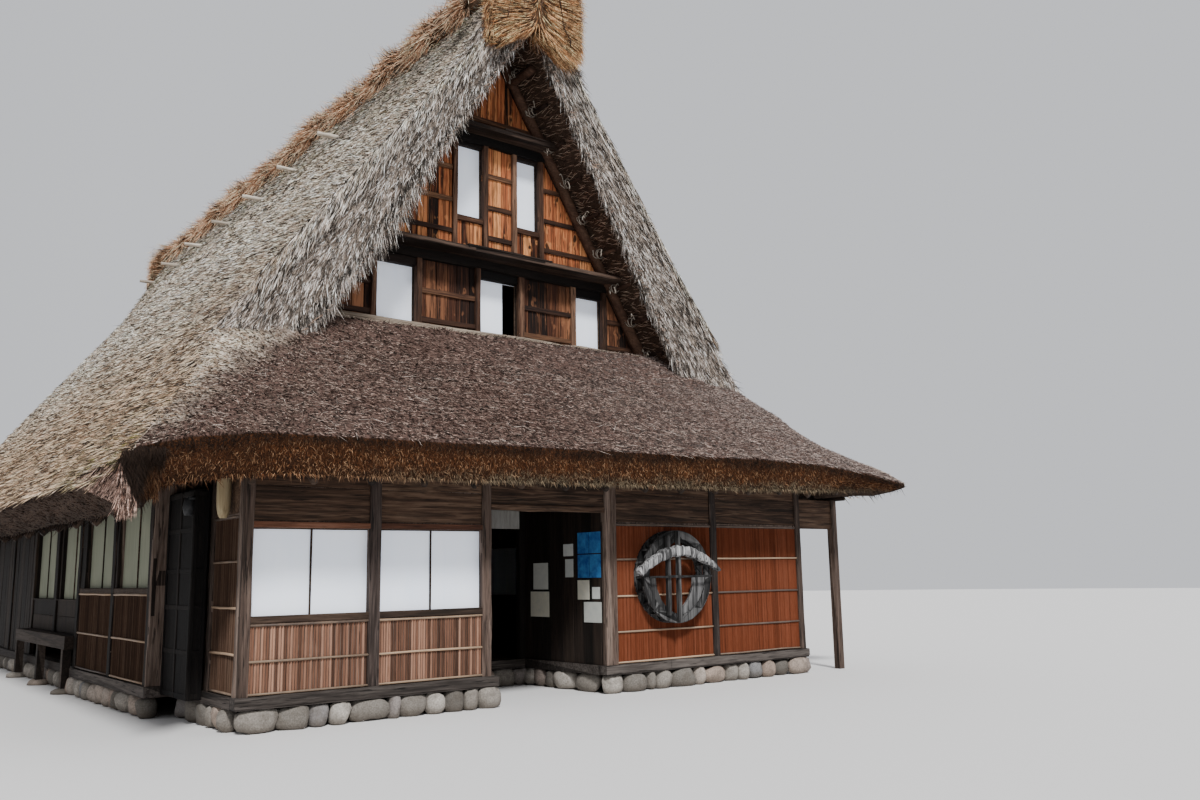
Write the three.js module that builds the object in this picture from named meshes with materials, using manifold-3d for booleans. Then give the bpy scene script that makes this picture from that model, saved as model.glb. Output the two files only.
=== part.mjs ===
import * as THREE from 'three';
import * as BufferGeometryUtils from 'three/addons/utils/BufferGeometryUtils.js';
import Module from 'manifold-3d';

// Minka farmhouse with a steep thatched roof. Millimetres, +Z up, the entrance front faces -Y.
// Pieces are drawn from the outer corner of the front left post, and one group then moves the
// house so that the origin lies on the ground under the middle of the roof.

const wasm = await Module();
wasm.setup();

// Plan
const KEN = 1820;
const HOUSE_LENGTH = 10 * KEN;
const HOUSE_WIDTH = 8464;
const ROOF_AXIS = 4150;
const GAP = 0.3;

// Levels
const SILL_BOTTOM = 230;
const SILL_TOP = 350;
const FLOOR_TOP = 340;
const FLOOR_BOARD = 50;
const WALL_TOP = 3020;
const BAY_WALL_TOP = 3035;
const VERANDA_WALL_TOP = 3115;
const REAR_WALL_TOP = 3075;
const RIGHT_WALL_TOP = 3200;
const RIGHT_PLATE = { near: 1300, top: 3380 };
const LINTEL_BOTTOM = 2277;
const TIE_BOTTOM = 2850;
const TIE_TOP = 3050;
const LOWER_ATTIC_FLOOR = 4550;
const UPPER_ATTIC_FLOOR = 6080;

// Wall depths, measured inward from the face of the posts
const PANEL_FRONT = 30;
const WALL_DEPTH = 80;
const RAIL_FRONT = 10;
const SHOJI = 20;
const SHOJI_RAIL = 40;
const SILL_OUT = 30;
const SILL_IN = 140;
const STONE_SPREAD = 45;
const PANE_LAP = 15;
const CUT = 200;

// Front posts
const CORNER_POST = [0, 100];
const SECOND_POST = [1390, 1519];
const DOOR_POST_LEFT = [2824, 2945];
const DOOR_POST_RIGHT = [4669, 4858];
const FIFTH_POST = [6567, 6678];
const SIXTH_POST = [8355, HOUSE_WIDTH];
const LEDGE = [1065, 1137];
const STRIP = [2030, 2095];
const BOARD_RAIL = [2110, 2160];
const LINTEL_FRONT = 15;
const WING_BOARD = { depth: [30, 70], height: [2120, 2560] };

// Left side: a plain corner, a shallow bay of two ken, then a raised veranda wall
const CORNER_WALL_POST = [900, 1000];
const CORNER_WALL_RAIL = [2130, 2180];
const BAY_NEAR = 1950;
const BAY_FAR = BAY_NEAR + 2 * KEN;
const BAY_FACE = -330;
const BAY_LEDGE_BOTTOM = 1366;
const BAY_POSTS = [[BAY_NEAR, BAY_NEAR + 150], [3600, 3730], [5460, BAY_FAR]];
const BAY_WINDOWS = [[2110, 3520], [3800, 5220]];
const BAY_WINDOW_HEIGHTS = [1430, 2480];
const VERANDA_FACE = -250;
const VERANDA_FAR = BAY_FAR + 2 * KEN;
const VERANDA_FLOOR = 780;
const VERANDA_POSTS = [[BAY_FAR + GAP, 5720], [7300, 7420], [9110, VERANDA_FAR]];
const VERANDA_WINDOWS = [[5800, 7200], [7700, 9100]];
const VERANDA_WINDOW_HEIGHTS = [1270, 2360];
const VERANDA_BEAM = { face: -450, depth: 180, post: 110, setBack: 5, below: 10, near: 90 };
const SHUTTER_CASE = { face: -180, near: 1010, bottom: 260, top: 2480 };

// Right and back walls
const SIDE_WINDOW_HEIGHTS = [1137, 2030];
const SIDE_WINDOW_BAYS = [1, 2, 4, 5, 7, 8];
const SIDE_POST = 110;
const BACK_POSTS = [[VERANDA_FACE, -150], [1390, 1500], [2835, 2945], [4669, 4780], [6567, 6678],
  [8355, HOUSE_WIDTH]];
const BACK_WINDOWS = [[1510, 2825], [2955, 4660], [4790, 6560]];
const EAVE_POST = { left: 9234, right: 9341, pitch: 2 * KEN };
const EAVE_BEAM = { bottom: 2430, top: 2570 };

// Entrance recess
const PORCH_DEPTH = KEN;
const DOORWAY_TOP = 2150;
const DOOR_JAMB = 100;

// Roof surfaces, by the distance from the roof axis
const EAVE_HALF = 5600;
const EAVE_UNDER_HALF = 5350;
const APEX_OUTER = 9840;
const APEX_INNER = 9350;
const INNER_PITCH = 1.618;
const BEND_HALF = 2870;
const LIP_EDGE = 40;
const LEFT = { sign: -1, lip: 2500, under: 2150, cornerLift: 0 };
const RIGHT = { sign: 1, lip: 2760, under: 2440, cornerLift: 280 };
const CORNER_LIFT_RUN = 2400;
const CORNER_LIFT_HALVES = [4300, 5350];
const SHOULDER = { half: 1300, rise: 600 };
const CROWN = { top: 9950, fall: 0.37 };

// Skirt roof under each gable
const SKIRT_REACH = 1000;
const SKIRT_UNDER_REACH = 780;
const SKIRT_PITCH = 0.695;
const SKIRT_LIP = 2890;
const SKIRT_LIP_RISE = 0.015;
const SKIRT_THICKNESS = 400;
const LEFT_DROOP = { from: 300, reach: 1800, fall: 270, power: 3 };
const RIGHT_DROOP = { from: 7300, reach: 2300, fall: 240, power: 1.5 };
const SKIRT_TAPER = { from: 7700, to: 9700, share: 0.72 };
const SKIRT_TOP = 1518;
const SKIRT_STRIP_HALF = 2780;
const HIP_ROUNDING = 200;
const HIP_ROUNDING_WIDTH = 600;
const HIP_ROUNDING_FADE = [200, 500];
const HIP_ROUNDING_NEAR = 200;
const HIP_STEPS = 16;

// Gable
const RAKE_FOOT = 1100;
const RAKE_LEAN = 250;
const FRAME_FRONT = 1720;
const FRAME_DEPTH = 160;
const GABLE_WALL = [1760, 1820];
const RAFTER_WIDTH = 165;
const COLLAR = 145;
const FLOOR_PLAY = 5;
const GABLE_SILL = { front: 1520, back: 1719.7, bottom: 4670, top: 4860, half: 2750 };
const LOWER_LEDGE = { front: 1360, bottom: 5950, top: 6010 };
const UPPER_LEDGE = { front: 1420, bottom: 7830, top: 7890 };
const LOWER_WINDOWS = [[2240, 2830], [3850, 4500], [5550, 6060]];
const LOWER_PANES = [[2210, 2860], [3820, 4290], [5520, 6090]];
const LOWER_WINDOW_HEIGHTS = [4870, 5700];
const UPPER_WINDOWS = [[3470, 3900], [4480, 4880]];
const UPPER_PANES = [[3440, 3930], [4450, 4910]];
const UPPER_WINDOW_HEIGHTS = [6580, 7650];

// Ridge
const RIDGE_NEAR = 850;
const RIDGE_CENTRE = 10030;
const RIDGE_RADIUS = 390;
const RIDGE_FOOT_ANGLE = THREE.MathUtils.degToRad(28);
const RIDGE_CAP_DEPTH = 220;
const RIDGE_SEAT = 2;
const RIDGE_STEPS = 16;
const RIDGE_PEG = { size: 80, from: 600, to: 1120, bottom: 9080, count: 7, first: 5700, pitch: 1850 };
const RIDGE_CAP = [[0, 9200], [300, 8930], [480, 8840], [700, 8930], [750, 9250], [650, 9900], [330, 10340],
  [-330, 10340], [-650, 9900], [-770, 9200], [-760, 8800], [-560, 8780], [-300, 9010]];

// Wheel on the front wall
const WHEEL = { x: 5770, z: 1445, outer: 610, inner: 500, rim: 40, front: -170 };
const PADDLE = { count: 20, width: 30, play: 10 };
const FELLOE = {
  left: [-780, 100], crown: [-60, 730], right: [700, 100],
  rightFoot: [600, 40], belly: [-60, 390], leftFoot: [-690, 30], depth: 120,
};
const SPOKE_DEPTH = 60;
const SPOKES = [
  { x: [-560, 540], z: [-15, 15] },
  { x: [-175, -115], z: [-560, 160] },
  { x: [-25, 35], z: [-560, 160] },
];

const materials = {
  thatch: new THREE.MeshStandardMaterial({ color: 0x8d8377, roughness: 1, metalness: 0 }),
  skirtThatch: new THREE.MeshStandardMaterial({ color: 0x5f5148, roughness: 1, metalness: 0 }),
  ridgeStraw: new THREE.MeshStandardMaterial({ color: 0x9b7048, roughness: 1, metalness: 0 }),
  timber: new THREE.MeshStandardMaterial({ color: 0x4b3b30, roughness: 0.8, metalness: 0 }),
  reed: new THREE.MeshStandardMaterial({ color: 0x7a4027, roughness: 0.85, metalness: 0 }),
  gableBoard: new THREE.MeshStandardMaterial({ color: 0x84502e, roughness: 0.8, metalness: 0 }),
  darkBoard: new THREE.MeshStandardMaterial({ color: 0x2c221d, roughness: 0.8, metalness: 0 }),
  sill: new THREE.MeshStandardMaterial({ color: 0x6a6159, roughness: 0.9, metalness: 0 }),
  stone: new THREE.MeshStandardMaterial({ color: 0x8d8a86, roughness: 0.9, metalness: 0 }),
  shoji: new THREE.MeshStandardMaterial({ color: 0xe6e9ee, roughness: 0.9, metalness: 0 }),
  wheel: new THREE.MeshStandardMaterial({ color: 0x77736f, roughness: 0.9, metalness: 0 }),
};

const house = new THREE.Group();
house.position.set(-ROOF_AXIS, -HOUSE_LENGTH / 2, 0);

// Solids
function toSolid(geometry) {
  const bare = geometry.clone();
  bare.deleteAttribute('normal');
  bare.deleteAttribute('uv');
  const merged = BufferGeometryUtils.mergeVertices(bare, 0.001);
  const mesh = new wasm.Mesh({
    numProp: 3,
    vertProperties: new Float32Array(merged.attributes.position.array),
    triVerts: new Uint32Array(merged.index.array),
  });
  return new wasm.Manifold(mesh);
}

function fromSolid(solid) {
  const mesh = solid.getMesh();
  const geometry = new THREE.BufferGeometry();
  geometry.setAttribute('position', new THREE.BufferAttribute(mesh.vertProperties, 3));
  geometry.setIndex(new THREE.BufferAttribute(mesh.triVerts, 1));
  geometry.computeVertexNormals();
  return geometry;
}

function joined(solids) {
  return solids.reduce((whole, solid) => whole.add(solid));
}

function addPiece(name, geometry, material) {
  const mesh = new THREE.Mesh(geometry, materials[material]);
  mesh.name = name;
  house.add(mesh);
}

function addSolid(name, solid, material) {
  addPiece(name, fromSolid(solid), material);
}

function box([x0, x1], [y0, y1], [z0, z1]) {
  const geometry = new THREE.BoxGeometry(x1 - x0, y1 - y0, z1 - z0);
  geometry.translate((x0 + x1) / 2, (y0 + y1) / 2, (z0 + z1) / 2);
  return geometry;
}

function block(x, y, z) {
  return toSolid(box(x, y, z));
}

function inset([a, b], by = GAP) {
  return [a + by, b - by];
}

function fromBack([y0, y1]) {
  return [HOUSE_LENGTH - y1, HOUSE_LENGTH - y0];
}

// Walls are drawn in wall terms: u runs along the wall, d inward from its outer face.
const facing = {
  front: (u, d) => [u, d],
  back: (u, d) => [u, fromBack(d)],
  left: (u, d) => [d, u],
  bay: (u, [d0, d1]) => [[BAY_FACE + d0, BAY_FACE + d1], u],
  veranda: (u, [d0, d1]) => [[VERANDA_FACE + d0, VERANDA_FACE + d1], u],
  right: (u, [d0, d1]) => [[HOUSE_WIDTH - d1, HOUSE_WIDTH - d0], u],
};

function wallBlock(face, u, d, z) {
  return block(...facing[face](u, d), z);
}

// A wall is one panel with its windows cut through, its posts and its rails.
function wall(face, [u0, u1], [z0, z1], posts, windows, rails) {
  const panel = wallBlock(face, [u0, u1], [PANEL_FRONT, WALL_DEPTH], [z0 + GAP, z1]);
  const framed = joined([
    panel,
    ...rails.map(([low, high]) => wallBlock(face, [u0, u1], [RAIL_FRONT, WALL_DEPTH], [low, high])),
  ]);
  const cut = windows.reduce(
    (solid, [a, b, low, high]) => solid.subtract(wallBlock(face, [a, b], [-CUT, CUT], [low, high])),
    framed,
  );
  return joined([cut, ...posts.map((post) => wallBlock(face, post, [0, WALL_DEPTH], [z0 + GAP, z1]))]);
}

// Paper panes stand behind a wall's windows, joined by the two rails that they slide in.
function panes(face, spans, [low, high], depth = WALL_DEPTH) {
  const ends = [spans[0][0], spans[spans.length - 1][1]];
  const d = [depth + GAP, depth + GAP + SHOJI];
  return joined([
    wallBlock(face, ends, d, [low - SHOJI_RAIL, low]),
    wallBlock(face, ends, d, [high, high + SHOJI_RAIL]),
    ...spans.map((span) => wallBlock(face, span, d, [low - SHOJI_RAIL, high + SHOJI_RAIL])),
  ]);
}

function withHeights(spans, [low, high]) {
  return spans.map(([a, b]) => [a, b, low, high]);
}

function widened(spans) {
  return spans.map(([a, b]) => [a - PANE_LAP, b + PANE_LAP]);
}

// Front wall
function buildFront() {
  const windows = [[CORNER_POST[1], SECOND_POST[0]], [SECOND_POST[1], DOOR_POST_LEFT[0]]];
  const heights = [LEDGE[1], STRIP[0]];
  const topRails = [LEDGE, STRIP];
  addSolid('front_wall_left', wall('front', [0, DOOR_POST_LEFT[1]], [SILL_TOP, WALL_TOP],
    [CORNER_POST, SECOND_POST, DOOR_POST_LEFT], withHeights(windows, heights), topRails), 'reed');
  addSolid('front_shoji', panes('front', widened(windows), heights), 'shoji');
  addSolid('front_wall_right', wall('front', [DOOR_POST_RIGHT[0], HOUSE_WIDTH], [SILL_TOP, WALL_TOP],
    [DOOR_POST_RIGHT, FIFTH_POST, SIXTH_POST], [], [BOARD_RAIL]), 'reed');
  addPiece('entrance_lintel', box(inset([DOOR_POST_LEFT[1], DOOR_POST_RIGHT[0]]), [LINTEL_FRONT, WALL_DEPTH],
    [LINTEL_BOTTOM, WALL_TOP]), 'timber');
  const wing = inset([HOUSE_WIDTH, EAVE_POST.left]);
  addPiece('wing_board', box(wing, WING_BOARD.depth, WING_BOARD.height), 'timber');
}

// Entrance recess
function buildPorch() {
  const left = DOOR_POST_LEFT[1];
  const right = DOOR_POST_RIGHT[0];
  const back = [PORCH_DEPTH, PORCH_DEPTH + WALL_DEPTH];
  const side = [WALL_DEPTH + GAP, back[1]];
  const height = [SILL_TOP + GAP, TIE_BOTTOM - GAP];
  addPiece('porch_wall_left', box([left - WALL_DEPTH, left], side, height), 'darkBoard');
  addPiece('porch_wall_right', box([right, right + WALL_DEPTH], side, height), 'darkBoard');
  addSolid('porch_door_frame', joined([
    block(inset([left, right]), back, [DOORWAY_TOP, TIE_BOTTOM - GAP]),
    block([left + GAP, left + DOOR_JAMB], back, height),
    block([right - DOOR_JAMB, right - GAP], back, height),
  ]), 'darkBoard');
}

// Left side
function buildLeft() {
  addSolid('corner_wall', wall('left', [WALL_DEPTH + GAP, BAY_NEAR - GAP], [SILL_TOP, WALL_TOP],
    [CORNER_WALL_POST], [], [CORNER_WALL_RAIL]), 'reed');
  const { face, near, bottom, top } = SHUTTER_CASE;
  const sillEdge = SILL_OUT + GAP;
  addPiece('shutter_case', box([face, -sillEdge], [near, BAY_NEAR - sillEdge], [bottom, top]), 'darkBoard');
  const bay = wall('bay', [BAY_NEAR, BAY_FAR], [SILL_TOP, BAY_WALL_TOP], BAY_POSTS,
    withHeights(BAY_WINDOWS, BAY_WINDOW_HEIGHTS), [[BAY_LEDGE_BOTTOM, BAY_WINDOW_HEIGHTS[0]]]);
  const nearEnd = block([BAY_FACE, WALL_DEPTH], [BAY_NEAR, BAY_NEAR + WALL_DEPTH],
    [SILL_TOP + GAP, BAY_WALL_TOP]);
  addSolid('bay_wall', joined([bay, nearEnd]), 'reed');
  addSolid('bay_shoji', panes('bay', widened(BAY_WINDOWS), BAY_WINDOW_HEIGHTS), 'shoji');
  addSolid('veranda_wall', wall('veranda', [BAY_FAR + GAP, VERANDA_FAR], [VERANDA_FLOOR, VERANDA_WALL_TOP],
    VERANDA_POSTS, withHeights(VERANDA_WINDOWS, VERANDA_WINDOW_HEIGHTS), []), 'darkBoard');
  addSolid('veranda_shoji', panes('veranda', widened(VERANDA_WINDOWS), VERANDA_WINDOW_HEIGHTS), 'shoji');
  const beam = VERANDA_BEAM;
  const beamTop = VERANDA_FLOOR;
  const beamBottom = VERANDA_FLOOR - beam.depth;
  const stubFace = beam.face + beam.setBack;
  const stub = (y) => block([stubFace, stubFace + beam.post], [y, y + beam.post],
    [0, beamTop - beam.below]);
  addSolid('veranda_edge', joined([
    block([beam.face, VERANDA_FACE + WALL_DEPTH], [BAY_FAR + GAP, VERANDA_FAR], [beamBottom, beamTop]),
    stub(BAY_FAR + beam.near),
    stub(BAY_FAR + KEN),
    stub(VERANDA_FAR - beam.post),
  ]), 'timber');
  addSolid('left_rear_wall', wall('veranda', [VERANDA_FAR + GAP, HOUSE_LENGTH - WALL_DEPTH - GAP],
    [SILL_TOP, REAR_WALL_TOP], rearPosts(), [], []), 'darkBoard');
}

function rearPosts() {
  const posts = [];
  for (let y = VERANDA_FAR + KEN; y < HOUSE_LENGTH - KEN / 2; y += KEN) {
    posts.push([y, y + SIDE_POST]);
  }
  return posts;
}

// Right and back sides
function sidePosts() {
  const posts = [];
  for (let u = KEN; u < HOUSE_LENGTH - KEN / 2; u += KEN) {
    posts.push([u - SIDE_POST / 2, u + SIDE_POST / 2]);
  }
  return posts;
}

function sideWindows() {
  return SIDE_WINDOW_BAYS.map((bay) => inset([bay * KEN, (bay + 1) * KEN], SIDE_POST / 2));
}

function buildRight() {
  const windows = sideWindows();
  const span = [WALL_DEPTH + GAP, HOUSE_LENGTH - WALL_DEPTH - GAP];
  const plate = wallBlock('right', inset([0, HOUSE_LENGTH], RIGHT_PLATE.near), [PANEL_FRONT, WALL_DEPTH],
    [RIGHT_WALL_TOP - SHOJI, RIGHT_PLATE.top]);
  addSolid('right_wall', joined([wall('right', span, [SILL_TOP, RIGHT_WALL_TOP], sidePosts(),
    withHeights(windows, SIDE_WINDOW_HEIGHTS), [LEDGE, STRIP]), plate]), 'reed');
  addSolid('right_shoji', panes('right', widened(windows), SIDE_WINDOW_HEIGHTS), 'shoji');
  const { left, right, pitch } = EAVE_POST;
  const size = right - left;
  const eavePosts = [];
  for (let y = 0; y < HOUSE_LENGTH; y += pitch) {
    eavePosts.push(block([left, right], [y, y + size], [0, EAVE_BEAM.top]));
  }
  const lastPost = block([left, right], [HOUSE_LENGTH - size, HOUSE_LENGTH], [0, EAVE_BEAM.top]);
  const beam = block([left, right], [0, HOUSE_LENGTH], [EAVE_BEAM.bottom, EAVE_BEAM.top]);
  addSolid('right_eave_posts', joined([beam, lastPost, ...eavePosts]), 'timber');
}

function buildBack() {
  addSolid('back_wall', wall('back', [VERANDA_FACE, HOUSE_WIDTH], [SILL_TOP, WALL_TOP], BACK_POSTS,
    withHeights(BACK_WINDOWS, SIDE_WINDOW_HEIGHTS), [LEDGE, STRIP]), 'reed');
  addSolid('back_shoji', panes('back', widened(BACK_WINDOWS), SIDE_WINDOW_HEIGHTS), 'shoji');
}

// Floors and what the walls stand on
function outline(points, depth, z) {
  const shape = new THREE.Shape(points.map(([x, y]) => new THREE.Vector2(x, y)));
  const geometry = new THREE.ExtrudeGeometry(shape, { depth, bevelEnabled: false });
  geometry.translate(0, 0, z);
  return geometry;
}

function buildFloor() {
  const edge = SILL_IN + GAP;
  const back = HOUSE_LENGTH - SILL_IN - GAP;
  const left = DOOR_POST_LEFT[1] - WALL_DEPTH - SILL_OUT - GAP;
  const right = DOOR_POST_RIGHT[0] + SILL_IN + GAP;
  const porch = PORCH_DEPTH + SILL_IN + GAP;
  addPiece('ground_floor', outline([
    [edge, edge], [left, edge], [left, porch], [right, porch], [right, edge],
    [HOUSE_WIDTH - edge, edge], [HOUSE_WIDTH - edge, back], [VERANDA_FACE + edge, back],
    [VERANDA_FACE + edge, BAY_FAR - GAP], [BAY_FACE + edge, BAY_FAR - GAP],
    [BAY_FACE + edge, BAY_NEAR + edge], [edge, BAY_NEAR + edge],
  ], FLOOR_BOARD, FLOOR_TOP - FLOOR_BOARD), 'timber');
}

// A run of sill beams or of stones below them, widened by spread on both sides
function frontRun(side, spread, z) {
  const y = [-SILL_OUT - spread, SILL_IN + spread];
  const porchBack = PORCH_DEPTH + SILL_IN + spread;
  if (side === 'left') {
    return block([-SILL_OUT - spread, DOOR_POST_LEFT[1] + WALL_DEPTH], y, z);
  }
  return joined([
    block([DOOR_POST_RIGHT[0] - SILL_OUT - spread, HOUSE_WIDTH + SILL_OUT + spread], y, z),
    block([DOOR_POST_RIGHT[0] - SILL_OUT - spread, DOOR_POST_RIGHT[0] + SILL_IN + spread],
      [0, porchBack], z),
    block([DOOR_POST_LEFT[1] - WALL_DEPTH - SILL_OUT - spread, DOOR_POST_RIGHT[0]],
      [PORCH_DEPTH - SILL_OUT - spread, porchBack], z),
    block([DOOR_POST_LEFT[1] - WALL_DEPTH - SILL_OUT - spread, DOOR_POST_LEFT[1] + SILL_OUT + spread],
      [y[1] + GAP, porchBack], z),
  ]);
}

function leftRun(spread, z, nearGap) {
  const x = (face) => [face - SILL_OUT - spread, face + SILL_IN + spread];
  const y = [SILL_IN + spread + nearGap, BAY_NEAR + SILL_IN + spread];
  return joined([
    block(x(0), y, z),
    block([x(BAY_FACE)[0], x(0)[1]], [BAY_NEAR - SILL_OUT - spread, y[1]], z),
    block(x(BAY_FACE), [BAY_NEAR, BAY_FAR + SILL_OUT + spread], z),
    block(x(VERANDA_FACE), [BAY_FAR, HOUSE_LENGTH - SILL_IN - spread - GAP], z),
  ]);
}

function rightRun(spread, z, farGap) {
  const x = [HOUSE_WIDTH - SILL_IN - spread, HOUSE_WIDTH + SILL_OUT + spread];
  return block(x, [SILL_IN + spread + GAP, HOUSE_LENGTH - SILL_IN - spread - farGap], z);
}

function backRun(spread, z) {
  const x = [VERANDA_FACE - SILL_OUT - spread, HOUSE_WIDTH + SILL_OUT + spread];
  return block(x, [HOUSE_LENGTH - SILL_IN - spread, HOUSE_LENGTH + SILL_OUT + spread], z);
}

function buildBase() {
  const sill = [SILL_BOTTOM + GAP, SILL_TOP];
  const stones = [0, SILL_BOTTOM];
  addSolid('front_sill_left', frontRun('left', 0, sill), 'sill');
  addSolid('front_sill_right', frontRun('right', 0, sill), 'sill');
  addSolid('left_sill', leftRun(0, sill, GAP), 'sill');
  addSolid('right_sill', rightRun(0, sill, GAP), 'sill');
  addSolid('back_sill', backRun(0, sill), 'sill');
  const spread = STONE_SPREAD;
  const leftStones = [frontRun('left', spread, stones), leftRun(spread, stones, 0)];
  const rightStones = [rightRun(spread, stones, 0), backRun(spread, stones)];
  addSolid('left_stones', joined(leftStones), 'stone');
  addSolid('front_stones', frontRun('right', spread, stones), 'stone');
  addSolid('right_stones', joined(rightStones), 'stone');
}

// Roof surfaces
function mainPitch(side) {
  return (APEX_OUTER - side.lip) / EAVE_HALF;
}

// A straight slope that steepens to a shoulder under the ridge bundle
function mainTop(side, h) {
  const slope = side.lip + (EAVE_HALF - h) * mainPitch(side);
  const raised = slope + SHOULDER.rise * Math.max(0, 1 - h / SHOULDER.half);
  return Math.min(raised, CROWN.top - CROWN.fall * h);
}

// How far the underside rises towards a corner of the eaves, where the straw thins out
function cornerLift(side, h, fromEnd) {
  const along = Math.max(0, 1 - (fromEnd + SKIRT_REACH) / CORNER_LIFT_RUN);
  return side.cornerLift * along * THREE.MathUtils.smoothstep(h, ...CORNER_LIFT_HALVES);
}

function mainUnder(side, h) {
  if (h <= BEND_HALF) {
    return APEX_INNER - INNER_PITCH * h;
  }
  if (h <= EAVE_UNDER_HALF) {
    const bend = APEX_INNER - INNER_PITCH * BEND_HALF;
    return bend + ((side.under - bend) * (h - BEND_HALF)) / (EAVE_UNDER_HALF - BEND_HALF);
  }
  const along = (h - EAVE_UNDER_HALF) / (EAVE_HALF - EAVE_UNDER_HALF);
  return side.under + (side.lip - LIP_EDGE - side.under) * along;
}

function droop({ reach, fall, power }, past) {
  return fall * Math.max(0, past / reach) ** power;
}

function skirtLip(x) {
  const fall = droop(LEFT_DROOP, LEFT_DROOP.from - x) + droop(RIGHT_DROOP, x - RIGHT_DROOP.from);
  return SKIRT_LIP + SKIRT_LIP_RISE * x - fall;
}

function skirtTop(x, y) {
  return skirtLip(x) + (y + SKIRT_REACH) * SKIRT_PITCH;
}

function skirtThickness(x) {
  const along = THREE.MathUtils.clamp((x - SKIRT_TAPER.from) / (SKIRT_TAPER.to - SKIRT_TAPER.from), 0, 1);
  return SKIRT_THICKNESS * (1 - SKIRT_TAPER.share * along);
}

function skirtUnder(x, y) {
  const thickness = skirtThickness(x);
  if (y >= -SKIRT_UNDER_REACH) {
    return skirtLip(x) - thickness + (y + SKIRT_UNDER_REACH) * SKIRT_PITCH;
  }
  const along = (y + SKIRT_REACH) / (SKIRT_REACH - SKIRT_UNDER_REACH);
  return skirtLip(x) - LIP_EDGE - (thickness - LIP_EDGE) * along;
}

// Where the main slope and the skirt meet, as a distance from the axis at y, and as y at h
function hipHalf(side, y) {
  let h = EAVE_HALF;
  for (let i = 0; i < HIP_STEPS; i += 1) {
    h += (mainTop(side, h) - skirtTop(ROOF_AXIS + side.sign * h, y)) / mainPitch(side);
  }
  return h;
}

function hipY(side, h) {
  const hip = SKIRT_ROWS.map((y) => hipHalf(side, y));
  const after = hip.findIndex((half) => half <= h);
  if (after <= 0) {
    return SKIRT_ROWS[0];
  }
  const along = (hip[after - 1] - h) / (hip[after - 1] - hip[after]);
  return THREE.MathUtils.lerp(SKIRT_ROWS[after - 1], SKIRT_ROWS[after], along);
}

function slopeStart(side, h) {
  if (h >= hipHalf(side, RAKE_FOOT)) {
    return hipY(side, h);
  }
  return RAKE_FOOT - RAKE_LEAN * Math.max(0, 1 - h / BEND_HALF);
}

function rounding(side, h, y) {
  const foot = hipHalf(side, RAKE_FOOT);
  const fade = THREE.MathUtils.smoothstep(h, foot - HIP_ROUNDING_FADE[0], foot + HIP_ROUNDING_FADE[1]);
  const corner = hipHalf(side, -SKIRT_REACH);
  const run = (RAKE_FOOT + SKIRT_REACH) / (corner - foot);
  const across = (y + SKIRT_REACH + run * (h - corner)) / Math.hypot(1, run);
  const near = THREE.MathUtils.smoothstep(y, -SKIRT_REACH, HIP_ROUNDING_NEAR);
  return HIP_ROUNDING * fade * near * Math.exp(-((across / HIP_ROUNDING_WIDTH) ** 2));
}

// A closed shell between a top and an under surface over the same plan. rows run along +Y and
// the points of a row along +X; each point is [x, y, top, under].
function shell(rows) {
  const columns = rows[0].length;
  const count = rows.length * columns;
  const positions = [];
  rows.flat().forEach(([x, y, top]) => positions.push(x, y, top));
  rows.flat().forEach(([x, y, top, under]) => positions.push(x, y, Math.min(under, top - LIP_EDGE)));
  const index = [];
  const quad = (a, b, c, d) => index.push(a, b, c, a, c, d);
  for (let i = 0; i + 1 < rows.length; i += 1) {
    for (let j = 0; j + 1 < columns; j += 1) {
      const a = i * columns + j;
      quad(a, a + 1, a + columns + 1, a + columns);
      quad(count + a, count + a + columns, count + a + columns + 1, count + a + 1);
    }
    const left = i * columns;
    const right = left + columns - 1;
    quad(left, left + columns, count + left + columns, count + left);
    quad(right + columns, right, count + right, count + right + columns);
  }
  for (let j = 0; j + 1 < columns; j += 1) {
    const back = (rows.length - 1) * columns + j;
    quad(j + 1, j, count + j, count + j + 1);
    quad(back, back + 1, count + back + 1, count + back);
  }
  const geometry = new THREE.BufferGeometry();
  geometry.setAttribute('position', new THREE.Float32BufferAttribute(positions, 3));
  geometry.setIndex(index);
  geometry.computeVertexNormals();
  return geometry;
}

// Main slopes, in rows that run across the slope: close at the two ends and far apart between
const SLOPE_HALVES = [3500, BEND_HALF, 2150, 1300, 800, 350, GAP];
const SKIRT_ROWS = [-SKIRT_REACH, -SKIRT_UNDER_REACH, -400, 0, 400, 800, RAKE_FOOT];
const END_ROWS = [0, 250, 600, 1100, 1800];
const MIDDLE_SPANS = 4;

function buildSlope(name, side) {
  const hip = SKIRT_ROWS.map((y) => hipHalf(side, y));
  const halves = [EAVE_HALF, EAVE_UNDER_HALF, ...hip, ...SLOPE_HALVES];
  halves.sort((a, b) => side.sign * (a - b));
  const rows = [];
  const addRow = (place) => rows.push(halves.map((h) => {
    const start = slopeStart(side, h) + GAP;
    const y = place(start);
    const fromEnd = Math.min(y, HOUSE_LENGTH - y);
    const top = mainTop(side, h) - rounding(side, h, fromEnd);
    return [ROOF_AXIS + side.sign * h, y, top, mainUnder(side, h) + cornerLift(side, h, fromEnd)];
  }));
  END_ROWS.forEach((offset) => addRow((start) => start + offset));
  for (let i = 1; i < MIDDLE_SPANS; i += 1) {
    const last = END_ROWS[END_ROWS.length - 1];
    addRow((start) => THREE.MathUtils.lerp(start + last, HOUSE_LENGTH - start - last, i / MIDDLE_SPANS));
  }
  END_ROWS.toReversed().forEach((offset) => addRow((start) => HOUSE_LENGTH - start - offset));
  addSolid(name, joined([toSolid(shell(rows)), ...pegs(side)]), 'thatch');
}

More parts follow.
